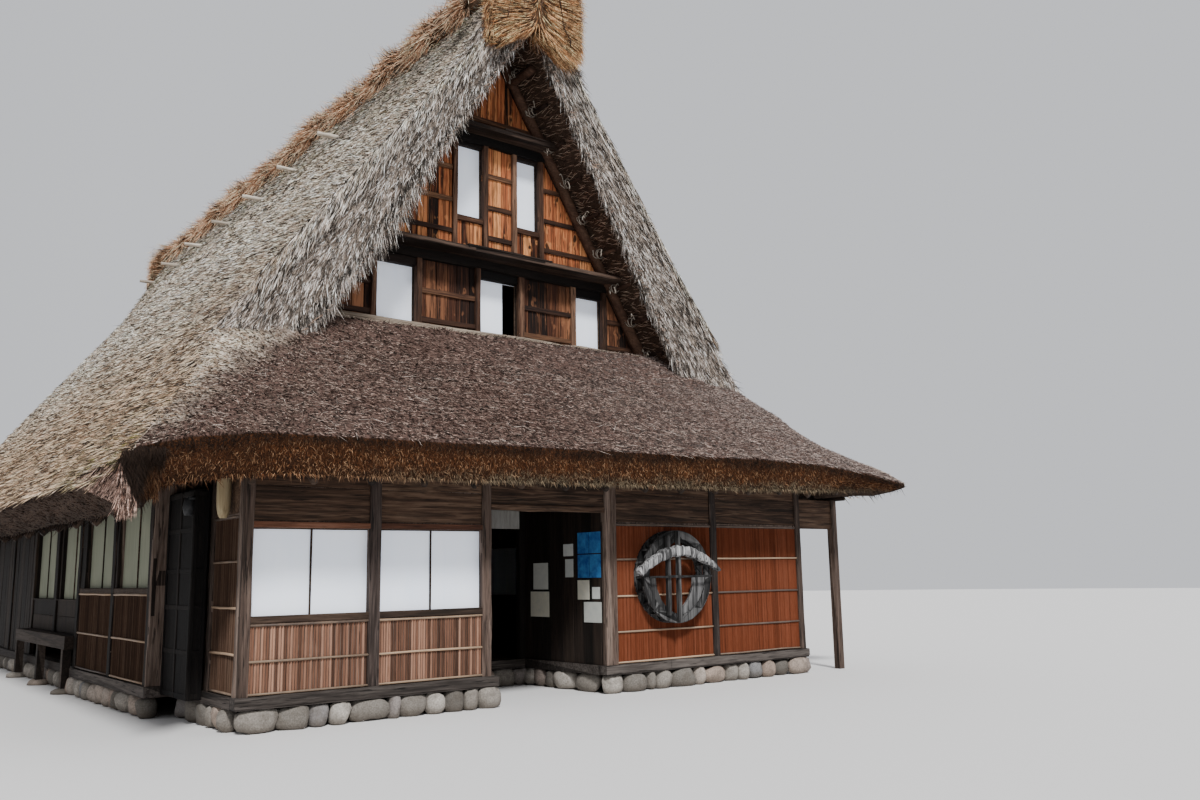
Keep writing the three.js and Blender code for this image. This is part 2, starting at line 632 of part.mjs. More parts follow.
// Ends of the poles that pass through the straw below the ridge bundle
function pegs(side) {
  const { size, from, to, bottom, count, first, pitch } = RIDGE_PEG;
  const x = [ROOF_AXIS + side.sign * from, ROOF_AXIS + side.sign * to].sort((a, b) => a - b);
  return Array.from({ length: count }, (_, i) => {
    const y = first + pitch * i;
    return block(x, [y - size / 2, y + size / 2], [bottom, bottom + size]);
  });
}

// Skirt roofs: shares of the width for the columns, and a narrower strip that runs in to the gable
const SKIRT_COLUMNS = [0, 0.04, 0.1, 0.18, 0.3, 0.5, 0.7, 0.82, 0.9, 0.96, 1];
const STRIP_LAP = 200;

function skirtSolid() {
  const rows = SKIRT_ROWS.map((y) => {
    const left = ROOF_AXIS - hipHalf(LEFT, y) + GAP;
    const right = ROOF_AXIS + hipHalf(RIGHT, y) - GAP;
    return SKIRT_COLUMNS.map((t) => {
      const x = THREE.MathUtils.lerp(left, right, t);
      const side = x < ROOF_AXIS ? LEFT : RIGHT;
      const top = skirtTop(x, y) - rounding(side, Math.abs(x - ROOF_AXIS), y);
      return [x, y, top, skirtUnder(x, y)];
    });
  });
  const strip = [RAKE_FOOT - STRIP_LAP, SKIRT_TOP].map((y) => [-1, 1].map((sign) => {
    const x = ROOF_AXIS + sign * SKIRT_STRIP_HALF;
    return [x, y, skirtTop(x, y), skirtUnder(x, y)];
  }));
  return joined([toSolid(shell(rows)), toSolid(shell(strip))]);
}

function buildSkirts() {
  const front = fromSolid(skirtSolid());
  addPiece('front_skirt_thatch', front, 'skirtThatch');
  const back = front.clone();
  back.applyMatrix4(new THREE.Matrix4().makeScale(1, -1, 1));
  back.translate(0, HOUSE_LENGTH, 0);
  const order = Array.from(back.index.array);
  for (let i = 0; i < order.length; i += 3) {
    [order[i + 1], order[i + 2]] = [order[i + 2], order[i + 1]];
  }
  back.setIndex(order);
  back.computeVertexNormals();
  addPiece('back_skirt_thatch', back, 'skirtThatch');
}

// Outline across the house, by distance from the roof axis and height, run along Y
function crossSection(points, [y0, y1]) {
  const shape = new THREE.Shape(points.map(([h, z]) => new THREE.Vector2(h, z)));
  const geometry = new THREE.ExtrudeGeometry(shape, { depth: y1 - y0, bevelEnabled: false });
  geometry.rotateX(Math.PI / 2);
  geometry.translate(ROOF_AXIS, y1, 0);
  return geometry;
}

function underHalf(z) {
  return (APEX_INNER - z) / INNER_PITCH - GAP;
}

function innerHalf(z) {
  return underHalf(z) - RAFTER_WIDTH;
}

// Rafter frames: two rafters, the tie beam under their feet and two collars under the floors
function rafterFrame(y, tieLeft, tieRight, collars) {
  const levels = [TIE_TOP, ...collars.flat()];
  const holes = [];
  for (let i = 0; i < levels.length; i += 2) {
    const low = levels[i];
    const high = levels[i + 1];
    if (high === undefined) {
      holes.push([[-innerHalf(low), low], [innerHalf(low), low], [0, innerApex()]]);
    } else {
      holes.push([[-innerHalf(low), low], [innerHalf(low), low], [innerHalf(high), high],
        [-innerHalf(high), high]]);
    }
  }
  const outer = toSolid(crossSection([
    [tieLeft, TIE_BOTTOM], [tieRight, TIE_BOTTOM], [tieRight, TIE_TOP], [underHalf(TIE_TOP), TIE_TOP],
    [0, APEX_INNER - 2 * GAP], [-underHalf(TIE_TOP), TIE_TOP], [tieLeft, TIE_TOP],
  ], y));
  const through = inset(y, -CUT);
  return holes.reduce((solid, hole) => solid.subtract(toSolid(crossSection(hole, through))), outer);
}

function innerApex() {
  return APEX_INNER - INNER_PITCH * (RAFTER_WIDTH + GAP);
}

function buildFrames() {
  const collar = (floor) => [floor - FLOOR_BOARD - COLLAR, floor - FLOOR_BOARD - GAP];
  const lowerCollar = collar(LOWER_ATTIC_FLOOR);
  const upperCollar = collar(UPPER_ATTIC_FLOOR);
  const right = HOUSE_WIDTH - WALL_DEPTH - GAP - ROOF_AXIS;
  const inside = (face) => face + WALL_DEPTH + GAP - ROOF_AXIS;
  const gable = [FRAME_FRONT, FRAME_FRONT + FRAME_DEPTH];
  addSolid('rafter_frame_1', rafterFrame(gable, inside(0), right, [lowerCollar]), 'timber');
  for (let i = 1; i <= 3; i += 1) {
    const middle = THREE.MathUtils.lerp(FRAME_FRONT, HOUSE_LENGTH - FRAME_FRONT, i / 4);
    const left = middle < BAY_FAR ? inside(BAY_FACE) : inside(VERANDA_FACE);
    const y = [middle - FRAME_DEPTH / 2, middle + FRAME_DEPTH / 2];
    addSolid(`rafter_frame_${i + 1}`, rafterFrame(y, left, right, [lowerCollar, upperCollar]), 'timber');
  }
  addSolid('rafter_frame_5', rafterFrame(fromBack(gable), inside(VERANDA_FACE), right, [lowerCollar]),
    'timber');
}

function buildAttics() {
  const y = [GABLE_WALL[0], HOUSE_LENGTH - GABLE_WALL[0]];
  const lower = innerHalf(LOWER_ATTIC_FLOOR) - FLOOR_PLAY;
  addPiece('lower_attic_floor', box([ROOF_AXIS - lower, ROOF_AXIS + lower], y,
    [LOWER_ATTIC_FLOOR - FLOOR_BOARD, LOWER_ATTIC_FLOOR]), 'timber');
  const upper = innerHalf(UPPER_ATTIC_FLOOR) - FLOOR_PLAY;
  addPiece('upper_attic_floor', box([ROOF_AXIS - upper, ROOF_AXIS + upper],
    [GABLE_WALL[1] + GAP, HOUSE_LENGTH - GABLE_WALL[1] - GAP],
    [UPPER_ATTIC_FLOOR - FLOOR_BOARD, UPPER_ATTIC_FLOOR]), 'timber');
}

// Gable walls with their windows, paper panes, sill log and two ledges
function buildGable(end, place) {
  const bottom = LOWER_ATTIC_FLOOR + GAP;
  const top = innerApex() - FLOOR_PLAY;
  const wallHalf = innerHalf(bottom) - GAP;
  const boards = toSolid(crossSection([[-wallHalf, bottom], [wallHalf, bottom], [0, top]], place(GABLE_WALL)));
  const through = place(inset(GABLE_WALL, -CUT));
  const windows = [
    ...LOWER_WINDOWS.map((span) => block(span, through, LOWER_WINDOW_HEIGHTS)),
    ...UPPER_WINDOWS.map((span) => block(span, through, UPPER_WINDOW_HEIGHTS)),
  ];
  addSolid(`${end}_gable_wall`, windows.reduce((solid, hole) => solid.subtract(hole), boards), 'gableBoard');
  const d = place([GABLE_WALL[1] + GAP, GABLE_WALL[1] + GAP + SHOJI]);
  const sheet = (spans, [low, high]) => {
    const ends = [spans[0][0], spans[spans.length - 1][1]];
    return joined([
      block(ends, d, [low - SHOJI_RAIL, low]),
      block(ends, d, [high, high + SHOJI_RAIL]),
      ...spans.map((span) => block(span, d, [low - SHOJI_RAIL, high + SHOJI_RAIL])),
    ]);
  };
  addSolid(`${end}_gable_shoji_lower`, sheet(LOWER_PANES, LOWER_WINDOW_HEIGHTS), 'shoji');
  addSolid(`${end}_gable_shoji_upper`, sheet(UPPER_PANES, UPPER_WINDOW_HEIGHTS), 'shoji');
  const log = GABLE_SILL;
  addPiece(`${end}_gable_sill`, box([ROOF_AXIS - log.half, ROOF_AXIS + log.half],
    place([log.front, log.back]), [log.bottom, log.top]), 'sill');
  for (const [name, ledge] of [['lower_ledge', LOWER_LEDGE], ['upper_ledge', UPPER_LEDGE]]) {
    const half = underHalf(ledge.top) - FLOOR_PLAY;
    addPiece(`${end}_${name}`, box([ROOF_AXIS - half, ROOF_AXIS + half],
      place([ledge.front, FRAME_FRONT - GAP]), [ledge.bottom, ledge.top]), 'darkBoard');
  }
}

// Ridge bundle on the shoulders of the thatch, and the straw cap at each end
function buildRidge() {
  const foot = RIDGE_RADIUS * Math.cos(RIDGE_FOOT_ANGLE);
  const seat = (side, h) => mainTop(side, h) + RIDGE_SEAT;
  const points = [[-foot, seat(LEFT, foot)], [0, seat(LEFT, 0)], [foot, seat(RIGHT, foot)]];
  for (let i = 0; i <= RIDGE_STEPS; i += 1) {
    const angle = THREE.MathUtils.lerp(-RIDGE_FOOT_ANGLE, Math.PI + RIDGE_FOOT_ANGLE, i / RIDGE_STEPS);
    points.push([RIDGE_RADIUS * Math.cos(angle), RIDGE_CENTRE + RIDGE_RADIUS * Math.sin(angle)]);
  }
  addPiece('ridge_bundle', crossSection(points, [RIDGE_NEAR, HOUSE_LENGTH - RIDGE_NEAR]), 'ridgeStraw');
  const near = [RIDGE_NEAR - RIDGE_CAP_DEPTH, RIDGE_NEAR - GAP];
  addPiece('front_ridge_cap', crossSection(RIDGE_CAP, near), 'ridgeStraw');
  addPiece('back_ridge_cap', crossSection(RIDGE_CAP, fromBack(near)), 'ridgeStraw');
}

// Old wooden wheel hung on the front wall
function ring(outer, inner, [y0, y1]) {
  const shape = new THREE.Shape();
  shape.absarc(0, 0, outer, 0, 2 * Math.PI, false);
  const hole = new THREE.Path();
  hole.absarc(0, 0, inner, 0, 2 * Math.PI, true);
  shape.holes.push(hole);
  const geometry = new THREE.ExtrudeGeometry(shape, { depth: y1 - y0, bevelEnabled: false, curveSegments: 32 });
  geometry.rotateX(Math.PI / 2);
  geometry.translate(WHEEL.x, y1, WHEEL.z);
  return toSolid(geometry);
}

function buildWheel() {
  const back = PANEL_FRONT - GAP;
  const { outer, inner, rim, front } = WHEEL;
  const solids = [ring(outer, inner, [back - rim, back]), ring(outer, inner, [front, front + rim])];
  for (let i = 0; i < PADDLE.count; i += 1) {
    const paddle = new THREE.BoxGeometry(outer - inner - PADDLE.play, back - front - rim, PADDLE.width);
    paddle.translate((outer + inner) / 2, (back + front) / 2, 0);
    paddle.rotateY((2 * Math.PI * i) / PADDLE.count);
    paddle.translate(WHEEL.x, 0, WHEEL.z);
    solids.push(toSolid(paddle));
  }
  addSolid('wheel_rim', joined(solids), 'wheel');
  const felloe = new THREE.Shape();
  felloe.moveTo(...FELLOE.left);
  felloe.quadraticCurveTo(...FELLOE.crown, ...FELLOE.right);
  felloe.lineTo(...FELLOE.rightFoot);
  felloe.quadraticCurveTo(...FELLOE.belly, ...FELLOE.leftFoot);
  felloe.closePath();
  const curved = new THREE.ExtrudeGeometry(felloe, {
    depth: FELLOE.depth,
    bevelEnabled: false,
    curveSegments: 12,
  });
  curved.rotateX(Math.PI / 2);
  curved.translate(WHEEL.x, front - GAP, WHEEL.z);
  addPiece('wheel_felloe', curved, 'wheel');
  addSolid('wheel_spokes', joined(SPOKES.map(({ x, z }) => block(
    [WHEEL.x + x[0], WHEEL.x + x[1]],
    [front - SPOKE_DEPTH, front - GAP],
    [WHEEL.z + z[0], WHEEL.z + z[1]],
  ))), 'wheel');
}

buildFront();
buildPorch();
buildLeft();
buildRight();
buildBack();
buildFloor();
buildBase();
buildSlope('left_thatch', LEFT);
buildSlope('right_thatch', RIGHT);
buildSkirts();
buildFrames();
buildAttics();
buildGable('front', (y) => y);
buildGable('back', fromBack);
buildRidge();
buildWheel();

export default house;
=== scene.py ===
import math

import bmesh
import bpy
import numpy as np
from bpy.props import FloatProperty, FloatVectorProperty, PointerProperty
from mathutils import Matrix


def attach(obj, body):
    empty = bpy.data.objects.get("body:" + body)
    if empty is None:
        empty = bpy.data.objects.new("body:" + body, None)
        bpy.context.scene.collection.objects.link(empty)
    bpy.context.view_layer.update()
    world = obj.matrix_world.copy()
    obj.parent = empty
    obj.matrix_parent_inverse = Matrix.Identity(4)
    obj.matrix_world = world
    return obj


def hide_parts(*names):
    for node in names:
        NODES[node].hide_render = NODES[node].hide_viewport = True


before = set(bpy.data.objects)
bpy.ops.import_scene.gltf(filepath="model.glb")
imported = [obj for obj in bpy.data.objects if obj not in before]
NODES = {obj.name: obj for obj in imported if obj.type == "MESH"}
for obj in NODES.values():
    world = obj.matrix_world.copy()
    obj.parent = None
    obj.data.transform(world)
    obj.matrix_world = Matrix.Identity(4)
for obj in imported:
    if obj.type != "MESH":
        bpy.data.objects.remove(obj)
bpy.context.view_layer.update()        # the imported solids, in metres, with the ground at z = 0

bl_info = {
    "name": "Thatched farmhouse looks",
    "version": (1, 0, 0),
    "blender": (4, 5, 0),
    "location": "3D View > Sidebar > Farmhouse",
    "description": "Straw, boards, reeds, paper and stones for a thatched farmhouse",
    "category": "Add Mesh",
}

# Sizes are in metres from the outer corner of the front left post, as in the part's source.
SHIFT = np.array([4.150, 9.100, 0.0])
KEN, LENGTH, WIDTH, AXIS = 1.82, 18.2, 8.464, 4.150
MIDDLE = LENGTH / 2

# Main slopes: rise for each metre out, by side, and the underside's bend above the eaves.
PITCH = {-1: 1.3107, 1: 1.2643}
OUTER_APEX, INNER_APEX, INNER_PITCH, BEND = 9.840, 9.350, 1.618, 2.870
FOOT_HEIGHT, FOOT_OUT = {-1: 2.150, 1: 2.440}, 5.35
VERGE, VERGE_LEAN = 1.10, 0.25

# Skirt roofs: pitch, the line that the main slope's straw follows over the hip, and the lip's height.
SKIRT_PITCH, HIP_PLACE, HIP_RATE, LIP = 0.695, 4.75, 1.1, 2.89

# Ridge: the caps' foot and half width, and the pegs' height.
CAP_FOOT, CAP_HALF, PEG_HEIGHT = 8.76, 0.79, 9.12

# Walls: the gables' face, the sills' top, the panels' foot, and the top of the entrance recess.
GABLE_FACE, SILL, PANEL_FOOT, RECESS_TOP = 1.760, 0.352, 0.355, 2.845

# How far any straw may reach from the middle of the house.
REACH = np.array([5.93, 10.70, 10.69])


# Meshes

class Heap:
    """Points and faces of one piece, gathered from many small shapes."""

    def __init__(self):
        self.points, self.faces, self.count, self.only_straws = [], [], 0, False

    def add(self, points, faces, mirrored=False):
        """More points, and faces that count from the first of them."""
        faces = np.asarray(faces) + self.count
        self.points.append(np.asarray(points, float).reshape(-1, 3))
        self.faces.append(faces[:, ::-1] if mirrored else faces)
        self.count += len(self.points[-1])

    def mesh(self, name):
        """All of it as one mesh, with each straw's tip marked where there is only straw."""
        points = np.concatenate(self.points) - SHIFT
        mesh = bpy.data.meshes.new(name)
        mesh.vertices.add(len(points))
        mesh.vertices.foreach_set("co", points.astype(np.float32).ravel())
        loops = np.concatenate([f.ravel() for f in self.faces])
        totals = np.concatenate([np.full(len(f), f.shape[1]) for f in self.faces])
        mesh.loops.add(len(loops))
        mesh.loops.foreach_set("vertex_index", loops.astype(np.int32))
        mesh.polygons.add(len(totals))
        starts = np.concatenate([[0], np.cumsum(totals)[:-1]])
        mesh.polygons.foreach_set("loop_start", starts.astype(np.int32))
        mesh.update(calc_edges=True)
        mesh.validate()
        if self.only_straws:
            tip = mesh.attributes.new("tip", "FLOAT", "POINT")
            tip.data.foreach_set("value", np.tile([0.0, 0.0, 0.0, 1.0], len(points) // 4))
        return mesh


def piece(name, heap, finish, smooth=False, replaces=()):
    """One object from a heap, with its finish, riding on the house."""
    made = bpy.data.objects.new(name, heap.mesh(name) if isinstance(heap, Heap) else heap)
    bpy.context.scene.collection.objects.link(made)
    made.data.materials.clear()
    made.data.materials.append(finish)
    made.data.polygons.foreach_set("use_smooth", [smooth] * len(made.data.polygons))
    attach(made, "root")
    if replaces:
        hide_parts(*replaces)
    return made


def unit(v):
    """Each vector at a length of one."""
    return v / np.maximum(np.linalg.norm(v, axis=-1, keepdims=True), 1e-9)


def xyz(x, y, z):
    """Points or directions from three coordinates, each one number or one for every point."""
    return np.stack(np.broadcast_arrays(x, y, z), -1)


def at_end(front, y):
    """A distance from the front end, or for the back the same distance from the back end."""
    return y if front else LENGTH - y


def wave(points, size, seed):
    """Smooth noise of about -1 to 1 whose lumps are as wide as size."""
    rng = np.random.default_rng(seed)
    total = np.zeros(len(points))
    for _ in range(7):
        direction = unit(rng.normal(size=3)) * rng.uniform(0.7, 1.6)
        total += np.sin(points @ direction * (2 * np.pi / size) + rng.uniform(0, 2 * np.pi))
    return total / 3.2


def triangles(made):
    """Corners of an object's triangles, measured from the corner post."""
    mesh = made.data
    mesh.calc_loop_triangles()
    points = np.empty(len(mesh.vertices) * 3)
    mesh.vertices.foreach_get("co", points)
    index = np.empty(len(mesh.loop_triangles) * 3, np.int32)
    mesh.loop_triangles.foreach_get("vertices", index)
    return (points.reshape(-1, 3) + SHIFT)[index.reshape(-1, 3)]


def normals_of(tris):
    """Direction that each triangle faces."""
    return unit(np.cross(tris[:, 1] - tris[:, 0], tris[:, 2] - tris[:, 0]))


def scatter(tris, count, rng, weight=None):
    """Random points on triangles, evenly by area unless weighted, with their normals."""
    cross = np.cross(tris[:, 1] - tris[:, 0], tris[:, 2] - tris[:, 0])
    chance = np.linalg.norm(cross, axis=1)
    if weight is not None:
        chance = chance * weight(tris.mean(1))
    pick = rng.choice(len(tris), count, p=chance / chance.sum())
    a, b = rng.random((2, count, 1))
    over = a + b > 1
    a, b = np.where(over, 1 - a, a), np.where(over, 1 - b, b)
    t = tris[pick]
    return t[:, 0] + a * (t[:, 1] - t[:, 0]) + b * (t[:, 2] - t[:, 0]), unit(cross[pick])


def straws(heap, roots, along, length, width, rng):
    """Three-sided spikes, each from its root and as long and wide as its numbers say."""
    heap.only_straws = True
    count = len(roots)
    along = unit(along)
    side = unit(np.cross(along, unit(rng.normal(size=(count, 3)))))
    other = np.cross(along, side)
    length = np.broadcast_to(length, count)[:, None]
    width = np.broadcast_to(width, count)[:, None]
    corners = [roots + (side * math.cos(a) + other * math.sin(a)) * width / 2
               for a in (0, 2 * math.pi / 3, 4 * math.pi / 3)]
    points_out = np.clip(roots + along * length, SHIFT - REACH, SHIFT + REACH)
    points = np.stack([*corners, points_out], axis=1).reshape(-1, 3)
    base = np.arange(count)[:, None, None] * 4
    faces = np.array([[0, 1, 3], [1, 2, 3], [2, 0, 3]])[None] + base
    heap.add(points, faces.reshape(-1, 3))


def tips(heap, roots, along, length, width, rng, share=1):
    """Straws whose lengths and widths are drawn between two limits."""
    lengths = rng.uniform(*length, len(roots)) * share
    straws(heap, roots, along, lengths, rng.uniform(*width, len(roots)), rng)


def coat(heap, tris, count, rng, downhill, length, width, sink=0.012, lift=0.03, spread=0.2,
         weight=None, slim=None):
    """Straws laid down a surface like shingles: root under it, tip a little above it."""
    roots, normals = scatter(tris, count, rng, weight)
    down = np.broadcast_to(downhill(roots) if callable(downhill) else downhill, roots.shape)
    down = unit(down - normals * (down * normals).sum(1, keepdims=True))
    turn = rng.normal(0, spread, (count, 1))
    lengths = rng.uniform(*length, count)
    tilt = (sink + lift * rng.uniform(0.2, 1.3, count)) / lengths
    along = down * np.cos(turn) + np.cross(normals, down) * np.sin(turn)
    along = along + normals * tilt[:, None]
    widths = rng.uniform(*width, count) * (slim(roots) if slim else 1)
    straws(heap, roots - normals * sink, along, lengths, widths, rng)


def pole(heap, line, radii, sides=7, rng=None, wobble=0.0):
    """A round pole along a line of points."""
    line = np.asarray(line, float)
    radii = np.broadcast_to(radii, len(line)).astype(float)
    if rng is not None:
        line = line + rng.normal(0, wobble, line.shape)
        radii = radii * rng.uniform(0.9, 1.1, len(line))
    ahead = unit(np.gradient(line, axis=0))
    helper = np.array([0.13, 0.31, 0.94]) if abs(ahead[0][2]) < 0.8 else np.array([0.95, 0.2, 0.1])
    side = unit(np.cross(ahead, helper))
    other = np.cross(ahead, side)
    angles = np.arange(sides) * 2 * np.pi / sides
    round_it = side[:, None] * np.cos(angles)[None, :, None] + other[:, None] * np.sin(angles)[None, :, None]
    tube(heap, line[:, None] + radii[:, None, None] * round_it)


def tube(heap, rings, mirrored=False):
    """A closed body through rings of points that turn the same way."""
    count, sides = rings.shape[:2]
    i = np.arange(count - 1)[:, None] * sides
    j = np.arange(sides)[None]
    k = (j + 1) % sides
    quads = np.stack(np.broadcast_arrays(i + j, i + k, i + k + sides, i + j + sides), -1)
    start = heap.count
    heap.add(rings.reshape(-1, 3), quads.reshape(-1, 4), mirrored)
    for ring, first, turned in ((0, 0, True), (count - 1, (count - 1) * sides, False)):
        centre = heap.count - start
        fan = np.stack([first + np.arange(sides), first + (np.arange(sides) + 1) % sides,
                        np.full(sides, centre)], -1)
        fan = fan - centre
        heap.add(rings[ring].mean(0), fan, mirrored != turned)


def board(heap, low, high, rng, wobble=0.003, chamfer=0.006, steps=None, side=None):
    """A sawn board or beam between two corners, with worn edges and slightly uneven faces."""
    low, high = np.minimum(low, high).astype(float), np.maximum(low, high).astype(float)
    size = high - low
    axis = int(np.argmax(size))
    a, b = [(1, 2), (2, 0), (0, 1)][axis]
    steps = steps or max(2, min(7, int(size[axis] / 0.35) + 1))
    cut = min(chamfer, size[a] / 3, size[b] / 3)
    outline = [(cut, 0), (size[a] - cut, 0), (size[a], cut), (size[a], size[b] - cut),
               (size[a] - cut, size[b]), (cut, size[b]), (0, size[b] - cut), (0, cut)]
    rings = np.zeros((steps + 1, 8, 3))
    rings[:, :, axis] = (low[axis] + size[axis] * np.linspace(0, 1, steps + 1))[:, None]
    rings[:, :, a] = low[a] + np.array(outline)[:, 0]
    rings[:, :, b] = low[b] + np.array(outline)[:, 1]
    shake = rng.normal(0, wobble, (steps + 1, 4, 2))
    pairs = np.repeat(shake, 2, axis=1)
    rings[:, :, a] += pairs[:, :, 0]
    rings[:, :, b] += pairs[:, :, 1]
    rings = rings if side is None else side.place(rings)
    tube(heap, rings, side is not None and side.mirrored)


class Side:
    """A wall face: u runs along it, d goes inward from it and z is up."""

    def __init__(self, origin, along, inward):
        self.origin = np.array([*origin, 0.0])
        self.axes = np.array([[*along, 0], [*inward, 0], [0, 0, 1]], float)
        self.mirrored = np.linalg.det(self.axes) < 0

    def place(self, points):
        """Points along, into and up the wall, as places in the house."""
        return self.origin + np.asarray(points, float) @ self.axes


SIDES = {
    "front": Side((0, 0), (1, 0), (0, 1)),
    "back": Side((0, LENGTH), (1, 0), (0, -1)),
    "left": Side((0, 0), (0, 1), (1, 0)),
    "bay": Side((-0.330, 0), (0, 1), (1, 0)),
    "veranda": Side((-0.250, 0), (0, 1), (1, 0)),
    "right": Side((WIDTH, 0), (0, 1), (-1, 0)),
    "recess_left": Side((2.945, 0), (0, 1), (-1, 0)),
    "recess_right": Side((4.669, 0), (0, 1), (1, 0)),
    "recess_back": Side((0, KEN), (1, 0), (0, 1)),
}


# Finishes

class Signal:
    """A node's output socket, with Python's arithmetic as Math nodes."""

    def __init__(self, finish, socket):
        self.finish, self.socket = finish, socket

    def maths(self, operation, *values):
        inputs = dict(enumerate(values))
        return self.finish.node("Math", {"operation": operation}, inputs)

    def __add__(self, other):
        return self.maths("ADD", self, other)

    def __radd__(self, other):
        return self.maths("ADD", other, self)

    def __sub__(self, other):
        return self.maths("SUBTRACT", self, other)

    def __rsub__(self, other):
        return self.maths("SUBTRACT", other, self)

    def __mul__(self, other):
        return self.maths("MULTIPLY", self, other)

    def __rmul__(self, other):
        return self.maths("MULTIPLY", other, self)

    def __abs__(self):
        return self.maths("ABSOLUTE", self)


class Finish:
    """A material, or the world, built from one node call after another."""

    def __init__(self, name, library="materials"):
        self.owner = getattr(bpy.data, library).new(name)
        self.owner.use_nodes = True
        self.tree = self.owner.node_tree
        self.tree.nodes.clear()

    def node(self, kind, settings=None, inputs=None, output=0):
        """A node of one kind, with its settings first and then its sockets' values or links."""
        made = self.tree.nodes.new("ShaderNode" + kind)
        for key, value in (settings or {}).items():
            if key == "stops":
                ramp = made.color_ramp.elements
                while len(ramp) < len(value):
                    ramp.new(1.0)
                for element, (place, colour) in zip(ramp, value):
                    element.position = place
                    element.color = (*colour, 1)
            else:
                setattr(made, key, value)
        for key, value in (inputs or {}).items():
            if isinstance(value, Signal):
                self.tree.links.new(value.socket, made.inputs[key])
            else:
                made.inputs[key].default_value = value
        return Signal(self, made.outputs[output]) if made.outputs else None

    def place(self, stretch=(1, 1, 1)):
        """Position in metres, each way times its own number."""
        where = self.node("TexCoord", output="Object")
        return self.node("VectorMath", {"operation": "MULTIPLY"}, {0: where, 1: stretch})

    def noise(self, where, scale, detail=4.0, roughness=0.6, distortion=0.0):
        return self.node("TexNoise", None, {"Vector": where, "Scale": scale, "Detail": detail,
                                            "Roughness": roughness, "Distortion": distortion})

    def ramp(self, value, *stops):
        return self.node("ValToRGB", {"stops": stops}, {0: value})

    def band(self, value, low, high):
        """0 below low, 1 above high, straight between."""
        return self.node("MapRange", None, {"Value": value, "From Min": low, "From Max": high})

    def mix(self, share, a, b, mode="MIX"):
        colour = [(*c, 1) if isinstance(c, tuple) else c for c in (a, b)]
        return self.node("Mix", {"data_type": "RGBA", "blend_type": mode, "clamp_result": True},
                         {0: share, 6: colour[0], 7: colour[1]}, output=2)

    def part(self, which):
        """One coordinate of the position in metres, measured from the middle of the house."""
        return self.node("SeparateXYZ", None, {0: self.node("TexCoord", output="Object")}, which)

    def facing(self, which):
        """One coordinate of the direction that the surface faces."""
        return self.node("SeparateXYZ", None, {0: self.node("NewGeometry", output="Normal")}, which)

    def each(self):
        """A number from 0 to 1 for each separate straw, board or stone."""
        return self.node("NewGeometry", output="Random Per Island")

    def close(self, colour, roughness, height=None, depth=0.01, strength=0.6, glow=0.0):
        """The shader with its colour, roughness and bump, as the finished material."""
        colour = colour if isinstance(colour, Signal) else (*colour, 1)
        inputs = {"Base Color": colour, "Roughness": roughness, "Specular IOR Level": 0.2}
        if glow:
            inputs["Emission Color"] = colour
            inputs["Emission Strength"] = glow
        if height is not None:
            inputs["Normal"] = self.node("Bump", None, {"Height": height, "Distance": depth,
                                                        "Strength": strength})
        self.node("OutputMaterial", None, {"Surface": self.node("BsdfPrincipled", None, inputs)})
        return self.owner


def times(colour, share):
    """A colour made darker or lighter."""
    return tuple(share * c for c in colour)


def straw_tones(f, tones):
    """A tone for each straw, from nearly black through middle to pale."""
    dark, middle, light = tones
    pale = tuple(min(0.95, 1.2 * c) for c in light)
    return f.ramp(f.each(), (0.0, dark), (0.26, dark), (0.50, middle), (0.79, light), (1.0, pale))


def warmer_below(f, colour):
    """The grey straw, warmer and a little darker towards the eaves."""
    lower = 1 - f.band(f.part("Z"), 3.4, 6.4)
    return f.mix(lower, colour, f.mix(1.0, colour, (0.75, 0.61, 0.50), "MULTIPLY"))


def main_slope(f, colour, straw, dark, moss):
    """Straw of the main slopes: warmer low down, painted shade under the ridge and beside the cap, mossy low
    and high.
    """
    spots = f.noise(f.place(), 3.1, 4.0)
    growth = f.band(spots, 0.50, 0.62)
    low = (1 - f.band(f.part("Z"), 2.6, 3.5)) * (1 - f.band(f.part("Y"), -9.2, -6.4))
    high = f.band(f.part("Z"), 7.6, 9.4)
    shade_beside_cap = f.band(f.part("Z"), 8.85, 9.15) * (1 - f.band(f.part("Y"), -7.6, -7.1))
    colour = warmer_below(f, colour)
    # Painted shade beside the front cap, then a band of painted shadow just under the ridge bundle.
    colour = f.mix(shade_beside_cap * 0.85, colour, dark)
    colour = f.mix(f.band(f.part("Z"), 8.75, 9.05) * 0.5, colour, dark)
    colour = f.mix(growth * low * moss, colour, f.mix(0.35, (0.22, 0.20, 0.03), straw))
    colour = f.mix(f.band(spots, 0.61, 0.66) * low * moss, colour, (0.24, 0.27, 0.02))
    return f.mix(growth * high * 0.7, colour, f.mix(0.5, (0.17, 0.17, 0.05), straw))


def wrapped_hip(f, colour, hip):
    """Straw of a skirt, paler beside the left hip and as grey as the main slope past it."""
    grey = straw_tones(f, hip)
    dulled = f.mix(1.0, grey, (0.72, 0.62, 0.58), "MULTIPLY")
    colour = f.mix((1 - f.band(from_hip(f), 0.3, 2.3)) * 0.30, colour, dulled)
    return f.mix(past_hip(f), colour, warmer_below(f, grey))


